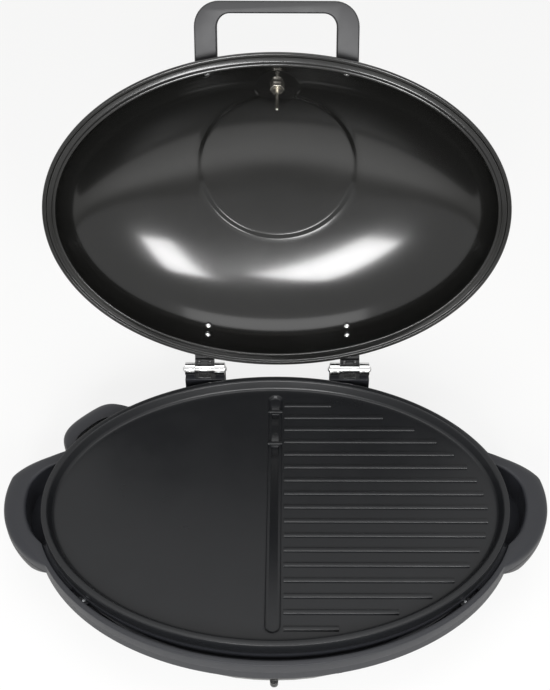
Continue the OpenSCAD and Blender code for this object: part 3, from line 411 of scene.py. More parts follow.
class Builder:
    """Collects rings and faces of one piece and makes it an object."""

    def __init__(self, name: str) -> None:
        """Starts an empty piece."""
        self.name = name
        self.mesh = bmesh.new()

    def rings(self, rings: Sequence[Sequence[Vector]], caps: bool = True,
              wrap: bool = False) -> list[list[bmesh.types.BMVert]]:
        """Skins a stack of rings that run the same way.

        Args:
            rings: the rings, from first to last, with equal numbers of points.
            caps: whether the first and the last ring are closed.
            wrap: whether the last ring joins the first.

        Returns:
            The rings' vertices.
        """
        made = [[self.mesh.verts.new(p) for p in ring] for ring in rings]
        pairs = list(zip(made, made[1:] + made[:1])) if wrap else list(zip(made, made[1:]))
        for low, high in pairs:
            for i, vert in enumerate(low):
                nxt = (i + 1) % len(low)
                self.mesh.faces.new((vert, low[nxt], high[nxt], high[i]))
        if caps and not wrap:
            self.mesh.faces.new(list(reversed(made[0])))
            self.mesh.faces.new(made[-1])
        return made

    def fill(self, loops: Sequence[Sequence[bmesh.types.BMVert]], up: float = 1.0) -> None:
        """Fills the flat area between closed loops.

        Args:
            loops: the outer loop and its holes.
            up: 1 where the faces look up, -1 where they look down.
        """
        edges = []
        for loop in loops:
            for i, vert in enumerate(loop):
                pair = (vert, loop[(i + 1) % len(loop)])
                edges.append(self.mesh.edges.get(pair) or self.mesh.edges.new(pair))
        made = bmesh.ops.triangle_fill(self.mesh, use_beauty=True, edges=edges)
        for face in made["geom"]:
            if isinstance(face, bmesh.types.BMFace):
                face.normal_update()
                if face.normal.z * up < 0:
                    face.normal_flip()

    def done(self, surface: Surface, sharp: float = 40.0) -> Obj:
        """Closes the mesh, smooths it and makes the object.

        Args:
            surface: its finish.
            sharp: the angle above which an edge stays sharp, in degrees.

        Returns:
            The new object.
        """
        bmesh.ops.recalc_face_normals(self.mesh, faces=self.mesh.faces[:])
        for face in self.mesh.faces:
            face.smooth = True
        for edge in self.mesh.edges:
            if len(edge.link_faces) == 2 and edge.calc_face_angle(0.0) > math.radians(sharp):
                edge.smooth = False
        data = bpy.data.meshes.new(self.name)
        self.mesh.to_mesh(data)
        self.mesh.free()
        obj = linked(self.name, data)
        dress(obj, surface)
        return obj


def place(obj: Obj, body: str, slot: str, *nodes: str) -> None:
    """Puts a finished piece on its body, hides the solids it stands for and logs its faces."""
    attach(obj, body)
    if nodes:
        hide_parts(*nodes)
    log.info("%s: %d faces on %s", obj.name, len(obj.data.polygons), body)


# ---------------------------------------------------------------- rules for what repeats
def start_tree(name: str, *numbers: str, **others: str) -> tuple[Tree, bpy.types.NodeOutputs]:
    """Starts a geometry node tree.

    Args:
        name: the tree's name.
        *numbers: the names of its inputs that take a number.
        **others: its other inputs, each with its kind.

    Returns:
        The tree and the sockets that hold its inputs.
    """
    tree = bpy.data.node_groups.new(name, "GeometryNodeTree")
    for key, kind in (others | dict.fromkeys(numbers, "Float")).items():
        tree.interface.new_socket(key, in_out="INPUT", socket_type="NodeSocket" + kind)
    tree.interface.new_socket("Geometry", in_out="OUTPUT", socket_type="NodeSocketGeometry")
    return tree, add(tree, "NodeGroupInput").outputs


def xyz(tree: Tree, x: object, y: object = 0.0, z: object = 0.0) -> Node:
    """Adds a vector made of three numbers or fields."""
    return add(tree, "ShaderNodeCombineXYZ", X=x, Y=y, Z=z)


def close_tree(tree: Tree, made: object, material: Material) -> None:
    """Ends a geometry node tree: the instances made real and given their material."""
    real = add(tree, "GeometryNodeRealizeInstances", Geometry=made)
    dressed = add(tree, "GeometryNodeSetMaterial", Geometry=real, Material=material)
    put(tree, dressed, add(tree, "NodeGroupOutput").inputs[0])


def grown(name: str, tree: Tree, values: dict[str, object],
          seeds: Sequence[Vector] = ()) -> Obj:
    """Runs a geometry node tree once and keeps its mesh.

    Args:
        name: the new piece's name.
        tree: the rule.
        values: what its named inputs are set to.
        seeds: points on which the rule works, if it takes any.

    Returns:
        A plain mesh object with no modifier left.
    """
    start = bpy.data.meshes.new(name + " seed")
    start.from_pydata([tuple(seed) for seed in seeds], [], [])
    obj = linked(name, start)
    made = obj.modifiers.new("rule", "NODES")
    made.node_group = tree
    names = {item.name: item.identifier for item in tree.interface.items_tree
             if item.in_out == "INPUT"}
    for key, value in values.items():
        made[names[key]] = value
    bake(obj)
    return obj


# ---------------------------------------------------------------- lid
@dataclass
class LidShell:
    """The pressed dome, its flange with the rolled edge, the crown's disc and the gauge's seat."""
    a: float = 227.0
    b: float = 155.0
    height: float = 80.0
    power: float = 2.4
    sheet: float = 1.5
    flange: float = 14.0
    disc_a: float = 84.0
    disc_b: float = 81.0
    disc_fore: float = 32.0
    step: float = 2.2
    step_w: float = 5.0
    gauge_fore: float = 125.0
    seat_r: float = 24.5
    seat_blend: float = 1.2
    land_in: float = 2.2
    land_out: float = 5.2
    disc_rings: tuple[float, ...] = (0.004, 0.04, 0.1, 0.2, 0.32, 0.45, 0.58, 0.7, 0.8, 0.88, 0.94)
    step_rings: int = 9
    dome_rings: int = 46
    crowding: float = 2.1

    def rise(self, x: float, y: float, off: float) -> float:
        """Height of the dome over a point of its plan."""
        rho = math.hypot(x / (self.a + off), y / (self.b + off))
        left = max(0.0, 1 - min(1.0, rho) ** self.power)
        return (self.height + off) * left ** (1 / self.power)

    def seat_frame(self) -> Matrix:
        """The gauge's frame on the closed lid, its Z out of the dome."""
        off = self.sheet
        y, b, h = -self.gauge_fore, self.b + off, self.height + off
        z = self.rise(0, y, off)
        k = (abs(y) / b) ** (self.power - 2)
        normal = Vector((0, k * y / (b * b), (z / h) ** (self.power - 1) / h)).normalized()
        side = Vector((1, 0, 0))
        turn = Matrix((side, normal.cross(side), normal)).transposed().to_4x4()
        return Matrix.Translation((0, y, z)) @ turn

    def angles(self) -> list[float]:
        """Angles of the rings' points, close together at the gauge's seat."""
        seat_from, seat_to, fine, coarse = 235, 305, 140, 196
        near = [seat_from + (seat_to - seat_from) * i / fine for i in range(fine)]
        rest = 360 + seat_from - seat_to
        return near + [seat_to + rest * i / coarse for i in range(coarse)]

    def dome(self, k: float, off: float, lift: float, share: float, more: float) -> list[Point]:
        """One ring between the rim (k = 0) and the crown's disc (k = 1)."""
        points = []
        for t in self.angles():
            c, s = math.cos(math.radians(t)), math.sin(math.radians(t))
            rim = Vector(((self.a + off) * c, (self.b + off) * s))
            disc = (oval(share * self.disc_a, share * self.disc_b, t, more)
                    - Vector((0, self.disc_fore)))
            p = rim + (disc - rim) * k
            points.append((p.x, p.y, self.rise(p.x, p.y, off) + lift))
        return points

    def face(self, off: float) -> list[list[Point]]:
        """The rings of one face of the sheet, from the crown down."""
        rings = [self.dome(1, off, self.step, share, 0) for share in self.disc_rings]
        for i in range(self.step_rings):
            u = i / (self.step_rings - 1)
            rings.append(self.dome(1, off, self.step * (1 - u * u * (3 - 2 * u)), 1,
                                   (u - 0.5) * self.step_w))
        rings += [self.dome((i / self.dome_rings) ** self.crowding, off, 0, 1, self.step_w / 2)
                  for i in range(self.dome_rings - 1, 0, -1)]
        return rings

    def press_seat(self, rings: list[list[Point]], level: float, radius: float) -> None:
        """Presses the gauge's flat seat into the rings, with a clean round edge."""
        # how far past the seat's edge a point lies: up to flat it only sinks, up to edge it
        # also moves onto the edge, up to blend_to it moves onto the blend's end
        flat, edge, blend_to = -0.7, 0.3, 1.6
        far = 30  # the dome's other side, which the seat's axis also meets
        back = self.seat_frame()
        to_seat = back.inverted()
        for ring in rings:
            for i, p in enumerate(ring):
                q = to_seat @ Vector(p)
                r = math.hypot(q.x, q.y)
                past = r - radius
                if past >= blend_to or abs(q.z) > far:
                    continue
                if past < edge:
                    scale, q.z = radius / r if past > flat else 1.0, level
                else:
                    scale = (radius + self.seat_blend) / r
                ring[i] = tuple(back @ Vector((q.x * scale, q.y * scale, q.z)))

    def rim(self) -> list[list[Point]]:
        """The flange: land, raised band and rolled edge, from inside out and back."""
        w, t = self.flange, self.sheet
        low = [(0.02, 1.9), (0.1, 1.2), (0.3, 0.6), (0.7, 0.15), (1.2, 0.0), (2.5, 0.0),
               (3.0, 0.12), (3.4, 0.5), (3.7, 1.2), (4.0, 1.7), (4.5, 1.95), (5.2, 2.0),
               (w - 6.0, 2.0), (w - 5.3, 1.95), (w - 4.9, 1.7), (w - 4.6, 1.2), (w - 4.3, 0.6),
               (w - 4.0, 0.25), (w - 3.5, 0.03)]
        r = 1.95
        roll = [(w - r + r * math.sin(math.radians(a)), r - r * math.cos(math.radians(a)))
                for a in range(-20, 200, 20)]
        top = [(w - 3.6, 3.75), (w - 4.6, 3.55), (w - 5.4, 2.0 + t), (2.6, 2.0 + t),
               (2.0, 2.1 + t), (t + 0.15, 2.4 + t), (t + 0.02, 3.4 + t)]
        return [[(*oval(self.a, self.b, a, out), z) for a in self.angles()]
                for out, z in low + roll + top]

    def build(self) -> None:
        """Makes the shell in one skin: inner face, rim, outer face."""
        inner, outer = self.face(0.0), self.face(self.sheet)
        inner = [r for r in inner if min(p[2] for p in r) > self.land_in]
        outer = [r for r in outer if min(p[2] for p in r) > self.land_out]
        self.press_seat(inner, -self.sheet, self.seat_r - self.sheet)
        self.press_seat(outer, 0.0, self.seat_r)
        made = Builder("lid_shell_pressed")
        made.rings([on_lid(r) for r in inner + self.rim() + list(reversed(outer))])
        place(made.done(Surface.ENAMEL, sharp=75), "lid", "lid_enamel", "lid_shell")


# ---------------------------------------------------------------- hotplate
@dataclass
class Hotplate:
    """The cast plate: rim, dish, drain channel, and its field of ribs."""
    a: float = 230.0
    b: float = 166.0
    rim_z: float = 84.0
    rim_h: float = 13.0
    floor_z: float = 74.0
    under_z: float = 68.0
    land: float = 6.0
    channel_x: float = -1.5
    channel_w: float = 14.0
    channel_half: float = 146.0
    channel_deep: float = 2.6
    drains: tuple = ((118.0, 8.0), (69.5, 15.0))
    drain_w: float = 9.0
    drain_r: float = 1.4
    element_half: float = 80.0
    fences: tuple[float, float] = (90.0, 99.0)
    fence_low: float = 62.4
    fence_half: float = 1.5
    ribs: int = 17
    rib_pitch: float = 17.13
    rib_w: float = 5.0
    rib_h: float = 1.8
    rib_round: float = 0.72
    rib_tip: float = 0.02
    rib_fore: float = 5.65
    field_a: float = 209.0
    field_b: float = 142.7
    rib_start: float = 8.3
    steps: int = 300
    bridge: float = 2.0

    def ring(self, inset: float, z: float) -> list[Vector]:
        """A ring of the rim or the dish."""
        return row((*oval(self.a - inset, self.b - inset, 360 * i / self.steps), z)
                   for i in range(self.steps))

    def lane(self, half_w: float, z: float) -> list[Vector]:
        """A ring round the drain channel."""
        reach = self.channel_half - self.channel_w / 2
        ends = ((self.channel_x, reach, 0), (self.channel_x, -reach, 180))
        return arcs(ends, half_w, 180, 24, z)

    def hole(self, middle: float, length: float, grow: float, z: float) -> list[Vector]:
        """A ring round a drain slot, with rounded corners."""
        hx, hy, r = self.drain_w / 2 + grow, length / 2 + grow, self.drain_r + grow
        corners = [(self.channel_x + sx * (hx - r), middle + sy * (hy - r), start)
                   for sx, sy, start in ((1, 1, 0), (-1, 1, 90), (-1, -1, 180), (1, -1, 270))]
        return arcs(corners, r, 90, 5, z)

    def fence(self, radius: float, z: float) -> list[Vector]:
        """A ring of the walls that hold the heating element."""
        return arcs(((self.element_half, 0, -90), (-self.element_half, 0, 90)), radius, 180, 30, z)

    def casting(self) -> Obj:
        """Makes the plate without its ribs."""
        made = Builder("hotplate_casting")
        rim, floor, low = self.rim_z, self.floor_z, self.rim_z - self.rim_h
        under = [(12.0, self.under_z), (10.6, self.under_z + 0.3), (10.0, self.under_z + 1.2),
                 (10.0, low - 0.4), (9.6, low), (0.8, low), (0.2, low + 0.3), (0.0, low + 0.9)]
        side = [(0.0, rim - 0.9), (0.05, rim - 0.6), (0.2, rim - 0.3), (0.45, rim - 0.1),
                (0.8, rim), (self.land - 1.3, rim), (self.land - 0.5, rim - 0.15),
                (self.land + 0.1, rim - 0.6), (self.land + 0.5, rim - 1.3)]
        wall = [(self.land + 3.0, floor + 2.6), (self.land + 3.6, floor + 1.4),
                (self.land + 4.6, floor + 0.5), (self.land + 6.0, floor + 0.08),
                (self.land + 8.0, floor), (self.land + 10.0, floor)]
        shell = made.rings([self.ring(i, z) for i, z in under + side + wall], caps=False)
        made.fill([shell[0]], up=-1)
        half, bed = self.channel_w / 2, floor - self.channel_deep
        lane = made.rings([self.lane(half + g, z) for g, z in (
            (3.5, floor), (1.8, floor), (0.9, floor - 0.12), (0.35, floor - 0.5),
            (0.0, floor - 1.1), (-0.3, bed + 0.9), (-0.9, bed + 0.3), (-2.0, bed),
            (-2.6, bed))], caps=False)
        made.fill([shell[-1], lane[0]])
        holes = []
        for middle, length in self.drains:
            cut = made.rings([self.hole(middle, length, g, z) for g, z in (
                (-0.4, bed), (-0.8, bed - 0.4), (-0.9, bed - 3.2))], caps=False)
            made.fill([cut[-1]])
            holes.append(cut[0])
        made.fill([lane[-1]] + holes)
        w, root, low = self.fence_half, self.under_z + 0.5, self.fence_low
        for radius in self.fences:
            made.rings([self.fence(radius + g, z) for g, z in (
                (-w, root), (-w, low + 0.4), (0.4 - w, low), (w - 0.4, low), (w, low + 0.4),
                (w, root))], caps=False, wrap=True)
        # a bridge across the channel behind each slot
        half_w = self.channel_w / 2 + 0.4
        for middle, length in self.drains:
            y = middle + length / 2 + self.bridge
            made.rings([row((self.channel_x + sx * half_w, y + sy * (self.bridge + grow), z)
                            for sx, sy in ((-1, -1), (1, -1), (1, 1), (-1, 1)))
                        for grow, z in ((0.0, bed - 0.5), (0.0, floor - 0.7),
                                        (-0.2, floor - 0.25), (-0.6, floor - 0.02))])
        return made.done(Surface.NONSTICK, sharp=50)

    def rib_tree(self, material: Material) -> Tree:
        """The rule of the ribs: bars at one pitch, each as long as the dish allows."""
        tree, given = start_tree(
            "ribs of the grill side", "Pitch", "First", "Start", "Half length", "Half depth",
            "Fore", "Width", "Height", "Level", "Plate fore", Count="Int")
        do = partial(calc, tree)
        index = add(tree, "GeometryNodeInputIndex")
        y = do("SUBTRACT", given["First"], do("MULTIPLY", index, given["Pitch"]))
        share = do("DIVIDE", do("ADD", y, given["Fore"]), given["Half depth"])
        left = do("MAXIMUM", do("SUBTRACT", 1.0, do("MULTIPLY", share, share)), 0.0)
        span = do("SUBTRACT", do("MULTIPLY", given["Half length"], do("SQRT", left)),
                  given["Start"])
        where = xyz(tree, given["Start"], do("SUBTRACT", y, given["Plate fore"]),
                    given["Level"])
        dots = add(tree, "GeometryNodeMeshLine", {"mode": "OFFSET"}, Count=given["Count"])
        feet = add(tree, "GeometryNodeSetPosition", Geometry=dots, Position=where)
        # a line one unit long, its points close together at both ends
        line = add(tree, "GeometryNodeCurvePrimitiveLine", Start=(0, 0, 0), End=(1, 0, 0))
        fine = add(tree, "GeometryNodeResampleCurve", Curve=line, Count=96)
        along = add(tree, "GeometryNodeSplineParameter").outputs["Factor"]
        eased = do("SUBTRACT", 0.5, do("MULTIPLY", 0.5, do("COSINE", do(
            "MULTIPLY", along, math.pi))))
        bent = add(tree, "GeometryNodeSetPosition", Geometry=fine,
                   Position=xyz(tree, eased))
        bars = add(tree, "GeometryNodeInstanceOnPoints", Points=feet, Instance=bent,
                   Selection=do("GREATER_THAN", span, do("MULTIPLY", given["Width"], 2.0)),
                   Scale=xyz(tree, span, 1.0, 1.0))
        real = add(tree, "GeometryNodeRealizeInstances", Geometry=bars)
        # each end is rounded in plan and runs down into the floor
        total = add(tree, "GeometryNodeSplineLength").outputs["Length"]
        gone = add(tree, "GeometryNodeSplineParameter").outputs["Length"]
        near = do("MINIMUM", gone, do("SUBTRACT", total, gone))
        half = do("MULTIPLY", given["Width"], 0.5)
        inner = do("SUBTRACT", 1.0, do("MINIMUM", do("DIVIDE", near, half), 1.0))
        least = self.rib_tip ** 2
        full = do("SQRT", do("MAXIMUM", do("SUBTRACT", 1.0, do("MULTIPLY", inner, inner)), least))
        sized = add(tree, "GeometryNodeSetCurveRadius", Curve=real, Radius=full)
        upright = add(tree, "GeometryNodeSetCurveNormal", {"mode": "Z_UP"}, Curve=sized)
        box = add(tree, "GeometryNodeCurvePrimitiveQuadrilateral", Width=given["Width"],
                  Height=do("MULTIPLY", given["Height"], 2.0))
        soft = add(tree, "GeometryNodeFilletCurve", {"mode": "POLY"}, Curve=box, Count=5,
                   Radius=do("MULTIPLY", given["Height"], self.rib_round))
        skin = add(tree, "GeometryNodeCurveToMesh", Curve=upright, Profile_Curve=soft,
                   Fill_Caps=True)
        close_tree(tree, add(tree, "GeometryNodeSetShadeSmooth", Geometry=skin), material)
        return tree

    def rib_field(self) -> Obj:
        """Makes the ribs of the grill side from their rule."""
        first = (self.ribs - 1) / 2 * self.rib_pitch - self.rib_fore
        tree = self.rib_tree(Surface.NONSTICK.value.build())
        return grown("hotplate_ribs", tree, {
            "Count": self.ribs, "Pitch": self.rib_pitch * MM, "First": first * MM,
            "Start": self.rib_start * MM, "Half length": self.field_a * MM,
            "Half depth": self.field_b * MM, "Fore": self.rib_fore * MM,
            "Width": self.rib_w * MM, "Height": self.rib_h * MM, "Level": self.floor_z * MM,
            "Plate fore": FORE * MM})

    def build(self) -> None:
        """Makes the plate and its ribs."""
        plate, ribs = self.casting(), self.rib_field()
        place(plate, "base", "nonstick", "hotplate")
        place(ribs, "base", "nonstick")


# ---------------------------------------------------------------- base
# the lip's rounding: how far below its top, the share of the reach, and how far further in
LIP = ((7.5, 1.0, 0.0), (6.0, 0.99, 0.0), (4.8, 0.97, 0.05), (3.7, 0.94, 0.1), (2.7, 0.895, 0.25),
       (1.8, 0.84, 0.45), (1.0, 0.77, 0.75), (0.4, 0.69, 1.15), (0.08, 0.62, 1.6))
# the rounding into the pocket or the groove: how far out, and how far below the lip's top
MOUTH = ((5.0, 0.0), (3.4, 0.12), (2.0, 0.6), (1.0, 1.6), (0.35, 3.2))


@dataclass
class BaseShell:
    """The moulded base: its lip and skirt, side handles with finger pockets, and inlet hood."""
    a: float = 238.0
    b: float = 178.5
    recess: tuple[float, float] = (234.0, 170.5)
    opening: tuple[float, float] = (222.5, 158.5)
    lip_z: float = 72.0
    ledge_z: float = 70.7
    part_z: float = 60.0
    skirt_z: float = 50.0
    handle_out: float = 36.0
    handle_low: float = 17.0
    pocket_in: float = -11.5
    pocket_out: float = 11.0
    pocket_floor: float = 46.0
    hood_out: float = 24.0
    inlet_t: float = 145.5
    slot_floor: float = 62.5
    groove_w: float = 3.8
    groove_floor: float = 66.5
    step: float = 0.5
    grip: Swell = Swell(9.5, 13, 34, (1.35, 2.0))
    fingers: Swell = Swell(6.5, 14, 28, (1.8, 1.8))
    hood: Swell = Swell(141.8, 14.6, 9.4, (4.0, 4.0))
    slot: Swell = Swell(145.5, 8, 8, (4.0, 4.0))
    slot_in: float = -5.5
    slot_w: float = 8.5
    window_half: float = 24.0
    window_in: float = -34.3
    window_top: float = 65.2
    cover_steps: int = 96
    cover_share: float = 0.985
    cover_gap: float = 0.15
    wall: float = 1.5
    joint: float = 0.1
    blend_w: float = 6.0
    lip_full: float = 12.0
    lip_least: float = 0.3

    def reach(self, t: float) -> float:
        """How far out a side handle reaches at an angle."""
        return self.handle_out * self.grip.both(t)

    def pocket(self, t: float) -> float:
        """How far out a finger pocket reaches at an angle."""
        return self.pocket_in + (self.pocket_out - self.pocket_in) * self.fingers.both(t)

    def out_of(self, t: float, size: tuple[float, float]) -> float:
        """How far an inner oval lies outside the skirt's line; negative inside it."""
        base = oval(self.a, self.b, t)
        return (oval(*size, t) - base).dot((oval(self.a, self.b, t, 1.0) - base))

    def section(self, t: float) -> list[tuple[float, float]]:
        """The moulding's section at an angle, as pairs of reach and height."""
        hood = self.hood_out * self.hood.at(t)
        full = self.reach(t) + hood
        rim, pocket = self.out_of(t, self.recess), self.pocket(t)
        slot = self.slot_in + self.slot_w * self.slot.at(t)
        edge = max(rim, pocket, slot)
        # 0 where only a groove runs round the plate, 1 in the full finger pocket
        wide = min(1.0, max(0.0, pocket - rim) / self.blend_w)
        top, low, part = self.lip_z, self.skirt_z, self.part_z
        skirt = hood - 0.3
        if pocket + self.wall > skirt:
            skirt, low = pocket + self.wall, self.pocket_floor - 2
        points = [(skirt, low), (skirt, part - 0.02), (max(full - 0.7, skirt), part),
                  (max(full - 0.15, skirt), part + 0.2), (max(full, skirt), part + 0.8)]
        # a lip that reaches less far out is rounded more sharply
        crisp = self.lip_least + (1 - self.lip_least) * min(1.0, full / self.lip_full)
        points += [(full * share - inset * crisp, top - drop * crisp)
                   for drop, share, inset in LIP]
        lead = points[-1][0]
        points += [(min(edge + flare * (0.14 + 0.86 * wide), lead - 0.2),
                    top - drop * (0.3 + 0.7 * wide)) for flare, drop in MOUTH]
        floor = self.slot_floor if slot > rim else self.groove_floor
        floor += (self.pocket_floor - floor) * wide
        back = (rim - self.groove_w) * (1 - wide) + self.pocket_in * wide
        steep = 9.0 * wide
        points += [(edge, self.ledge_z + 0.2), (edge, self.ledge_z), (edge, floor + 2.0 + steep),
                   (edge - 0.6, floor + 0.6 + 0.5 * steep), (edge - 1.4, floor),
                   (back, floor + steep), (back, self.ledge_z - 0.01)]
        mouth = self.out_of(t, self.opening)
        inner = self.pocket_in - self.wall - 0.01
        return points + [(mouth, self.ledge_z - 0.01), (mouth, self.skirt_z),
                         (inner, self.skirt_z + 0.1), (inner, low)]

    def moulding(self) -> Obj:
        """Makes the upper moulding and cuts the inlet's window through its hood."""
        made = Builder("upper_moulding")
        turns = [i * self.step for i in range(int(360 / self.step))]
        made.rings([row((*oval(self.a, self.b, t, out), z) for out, z in self.section(t))
                    for t in turns], caps=False, wrap=True)
        obj = made.done(Surface.HOUSING, sharp=38)
        window = Builder("window")
        foot = oval(self.a, self.b, self.inlet_t)
        way = (oval(self.a, self.b, self.inlet_t, 1.0) - foot).normalized()
        side = Vector((-way.y, way.x))
        near, far, w = self.window_in, self.hood_out + 5, self.window_half
        corners = [foot + way * u + side * v
                   for u, v in ((near, -w), (far, -w), (far, w), (near, w))]
        window.rings([row((*c, z) for c in corners)
                      for z in (self.skirt_z - 6, self.window_top)])
        cutter = window.done(Surface.HOUSING)
        cut = obj.modifiers.new("window", "BOOLEAN")
        cut.operation, cut.object, cut.solver = "DIFFERENCE", cutter, "FAST"
        bake(obj)
        bpy.data.objects.remove(cutter)
        return obj

    def cover_in(self, t: float) -> float:
        """How far out a lower handle half begins at an angle."""
        return max(0.4, self.pocket(t) + self.wall + self.joint)

    def cover(self, side: int) -> Obj:
        """Makes the lower half of one side handle, from one end to the other."""
        made = Builder(("left" if side < 0 else "right") + "_handle_lower_moulding")
        start = self.grip.peak - self.cover_share * self.grip.before
        end = self.grip.peak + self.cover_share * self.grip.after
        high = self.part_z - self.cover_gap
        rings = []
        for i in range(self.cover_steps + 1):
            t = start + (end - start) * i / self.cover_steps
            inner = self.cover_in(t)
            room = max(self.reach(t) - inner, 0.3)
            # towards its ends the cover gets thin as well as narrow
            size = min(self.handle_low, 1.2 * room + 0.4)
            low, outer = high - size, inner + room
            ring = [(inner, high), (inner, low)]
            # the outside, which draws in towards the bottom, then the edge under the joint
            ring += [(outer - 0.2 * size * (1 - k / 10) ** 2.2, low + (size - 0.7) * k / 10)
                     for k in range(11)]
            ring += [(outer - min(0.12, room * 0.2), high - 0.25),
                     (outer - min(0.5, room * 0.4), high)]
            spots = [(oval(self.a, self.b, t, out), z) for out, z in ring]
            rings.append(row((side * p.x, p.y, z) for p, z in spots))
        made.rings(rings)
        return made.done(Surface.PHENOLIC, sharp=38)

    def build(self) -> None:
        """Makes the moulding and both lower handle halves."""
        place(self.moulding(), "base", "housing", "upper_housing")
        for side, node in ((-1, "left_handle_cover"), (1, "right_handle_cover")):
            place(self.cover(side), "base", "handle_plastic", node)


# ---------------------------------------------------------------- screws and scale
@dataclass
class CoverScrews:
    """The countersunk screws under the side handles, with their cross slots."""
    turns: tuple[float, float] = (-14.0, 16.0)
    head_d: float = 6.6
    head_h: float = 2.4
    shank_d: float = 3.4
    shank_l: float = 14.0
    shank_z: float = 8.0
    slots: tuple[Point, Point] = ((4.2, 0.9, 1.2), (0.9, 4.2, 1.36))
    level: float = 44.6

    def tree(self, material: Material) -> Tree:
        """The rule: one screw on every seed."""
        tree, given = start_tree("screws", "Head", "Shank", Geometry="Geometry")
        head = add(tree, "GeometryNodeMeshCylinder", Vertices=40, Side_Segments=1,
                   Radius=given["Head"], Depth=self.head_h * MM)
        shank = add(tree, "GeometryNodeMeshCylinder", Vertices=24, Radius=given["Shank"],
                    Depth=self.shank_l * MM)
        lift = add(tree, "GeometryNodeTransform", Geometry=shank,
                   Translation=(0, 0, self.shank_z * MM))
        for size in self.slots:
            bar = add(tree, "GeometryNodeMeshCube", Size=tuple(v * MM for v in size))
            low = add(tree, "GeometryNodeTransform", Geometry=bar,
                      Translation=(0, 0, -self.head_h / 2 * MM))
            milled = add(tree, "GeometryNodeMeshBoolean", {"operation": "DIFFERENCE"})
            put(tree, head, milled.inputs[0])
            put(tree, low, milled.inputs[1])
            head = milled
        solid = add(tree, "GeometryNodeJoinGeometry")
        for part in (head, lift):
            put(tree, part, solid.inputs[0])
        points = add(tree, "GeometryNodeMeshToPoints", Mesh=given["Geometry"])
        close_tree(tree, add(tree, "GeometryNodeInstanceOnPoints", Points=points,
                             Instance=solid), material)
        return tree

    def build(self, base: BaseShell) -> None:
        """Puts the screws under the handles of a base."""
        seeds = []
        for side in (-1, 1):
            for t in self.turns:
                p = oval(base.a, base.b, t, (base.cover_in(t) + base.reach(t)) / 2)
                seeds.append((side * p.x, p.y, self.level))
        obj = grown("handle_screws", self.tree(Surface.ZINC.value.build()),
                    {"Head": self.head_d / 2 * MM, "Shank": self.shank_d / 2 * MM}, row(seeds))
        place(obj, "base", "zinc_steel", "handle_cover_screws")


@dataclass
class DialTicks:
    """The printed scale of the lid's gauge: long and short ticks round three quarters."""
    radius: float = 17.6
    count: int = 28
    sweep: float = 270.0
    start: float = -45.0
    length: float = 3.0
    short: float = 0.55
    width: float = 0.55
    print_t: float = 0.05
    lift: float = 0.06

    def tree(self, material: Material) -> Tree:
        """The rule: one bar on each point of an arc, every third one longer."""
        tree, given = start_tree("dial ticks", "Radius", "Sweep", "Length", "Width",
                                 Count="Int")
        arc = add(tree, "GeometryNodeCurveArc", Resolution=given["Count"],
                  Radius=given["Radius"], Sweep_Angle=given["Sweep"],
                  Start_Angle=math.radians(self.start))
        points = add(tree, "GeometryNodeCurveToPoints", {"mode": "EVALUATED"}, Curve=arc)
        step = calc(tree, "MODULO", add(tree, "GeometryNodeInputIndex"), 3.0)
        size = add(tree, "ShaderNodeMapRange", Value=calc(tree, "GREATER_THAN", step, 0.5),
                   To_Min=1.0, To_Max=self.short)
        bar = add(tree, "GeometryNodeMeshCube",
                  Size=xyz(tree, given["Width"], given["Length"], self.print_t * MM))
        ticks = add(tree, "GeometryNodeInstanceOnPoints", Points=points.outputs["Points"],
                    Instance=bar, Rotation=points.outputs["Rotation"],
                    Scale=xyz(tree, size, size, 1.0))
        close_tree(tree, ticks, material)
        return tree

    def build(self, shell: LidShell) -> None:
        """Prints the scale on the dial's face."""
        gauge = LID_PLACE @ shell.seat_frame()
        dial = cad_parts["thermometer_dial"]
        face = max((gauge.inverted() @ (dial.matrix_world @ v.co / MM)).z
                   for v in dial.data.vertices)
        obj = grown("dial_scale", self.tree(Surface.INK.value.build()), {
            "Count": self.count, "Radius": self.radius * MM, "Sweep": math.radians(self.sweep),
            "Length": self.length * MM, "Width": self.width * MM})
        spot = gauge @ Matrix.Translation((0, 0, face + self.lift))
        obj.data.transform(Matrix.Scale(MM, 4) @ spot @ Matrix.Scale(1 / MM, 4))
        place(obj, "lid", "dial_white")


# ---------------------------------------------------------------- rounded solids
@dataclass(frozen=True)
class Rounded:
    """A solid whose form stays and whose edges are eased; it may end at a lower top."""
    node: str
    surface: Surface
    body: str
    slot: str
    width: float = 0.6
    top: float = 1000.0


def both(node: str, surface: Surface, body: str, slot: str, width: float) -> list[Rounded]:
    """The left and the right one of two solids that mirror each other."""
    return [Rounded(f"{side}_{node}", surface, body, slot, width) for side in ("left", "right")]


def soften(solid: Rounded) -> None:
    """Stands for a hard-edged solid with the same shape, its edges rounded."""
    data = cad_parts[solid.node].data.copy()
    work = bmesh.new()
    work.from_mesh(data)
    for point in work.verts:
        point.co.z = min(point.co.z, solid.top * MM)
    bmesh.ops.remove_doubles(work, verts=work.verts[:], dist=SAME)
    bmesh.ops.dissolve_limit(work, angle_limit=math.radians(FLAT), verts=work.verts[:],
                             edges=work.edges[:])
    for face in work.faces:
        face.smooth = True
    work.to_mesh(data)
    work.free()
    obj = linked(solid.node + "_eased", data)
    bevel = obj.modifiers.new("rounding", "BEVEL")
    bevel.width = solid.width * MM
    bevel.segments = 3
    bevel.limit_method = "ANGLE"
    bevel.angle_limit = math.radians(CORNER)
    bake(obj)
    obj.data.shade_smooth()
    obj.data.set_sharp_from_angle(angle=math.radians(CREASE))
    obj.data.materials.clear()
    dress(obj, solid.surface)
    place(obj, solid.body, solid.slot, solid.node)


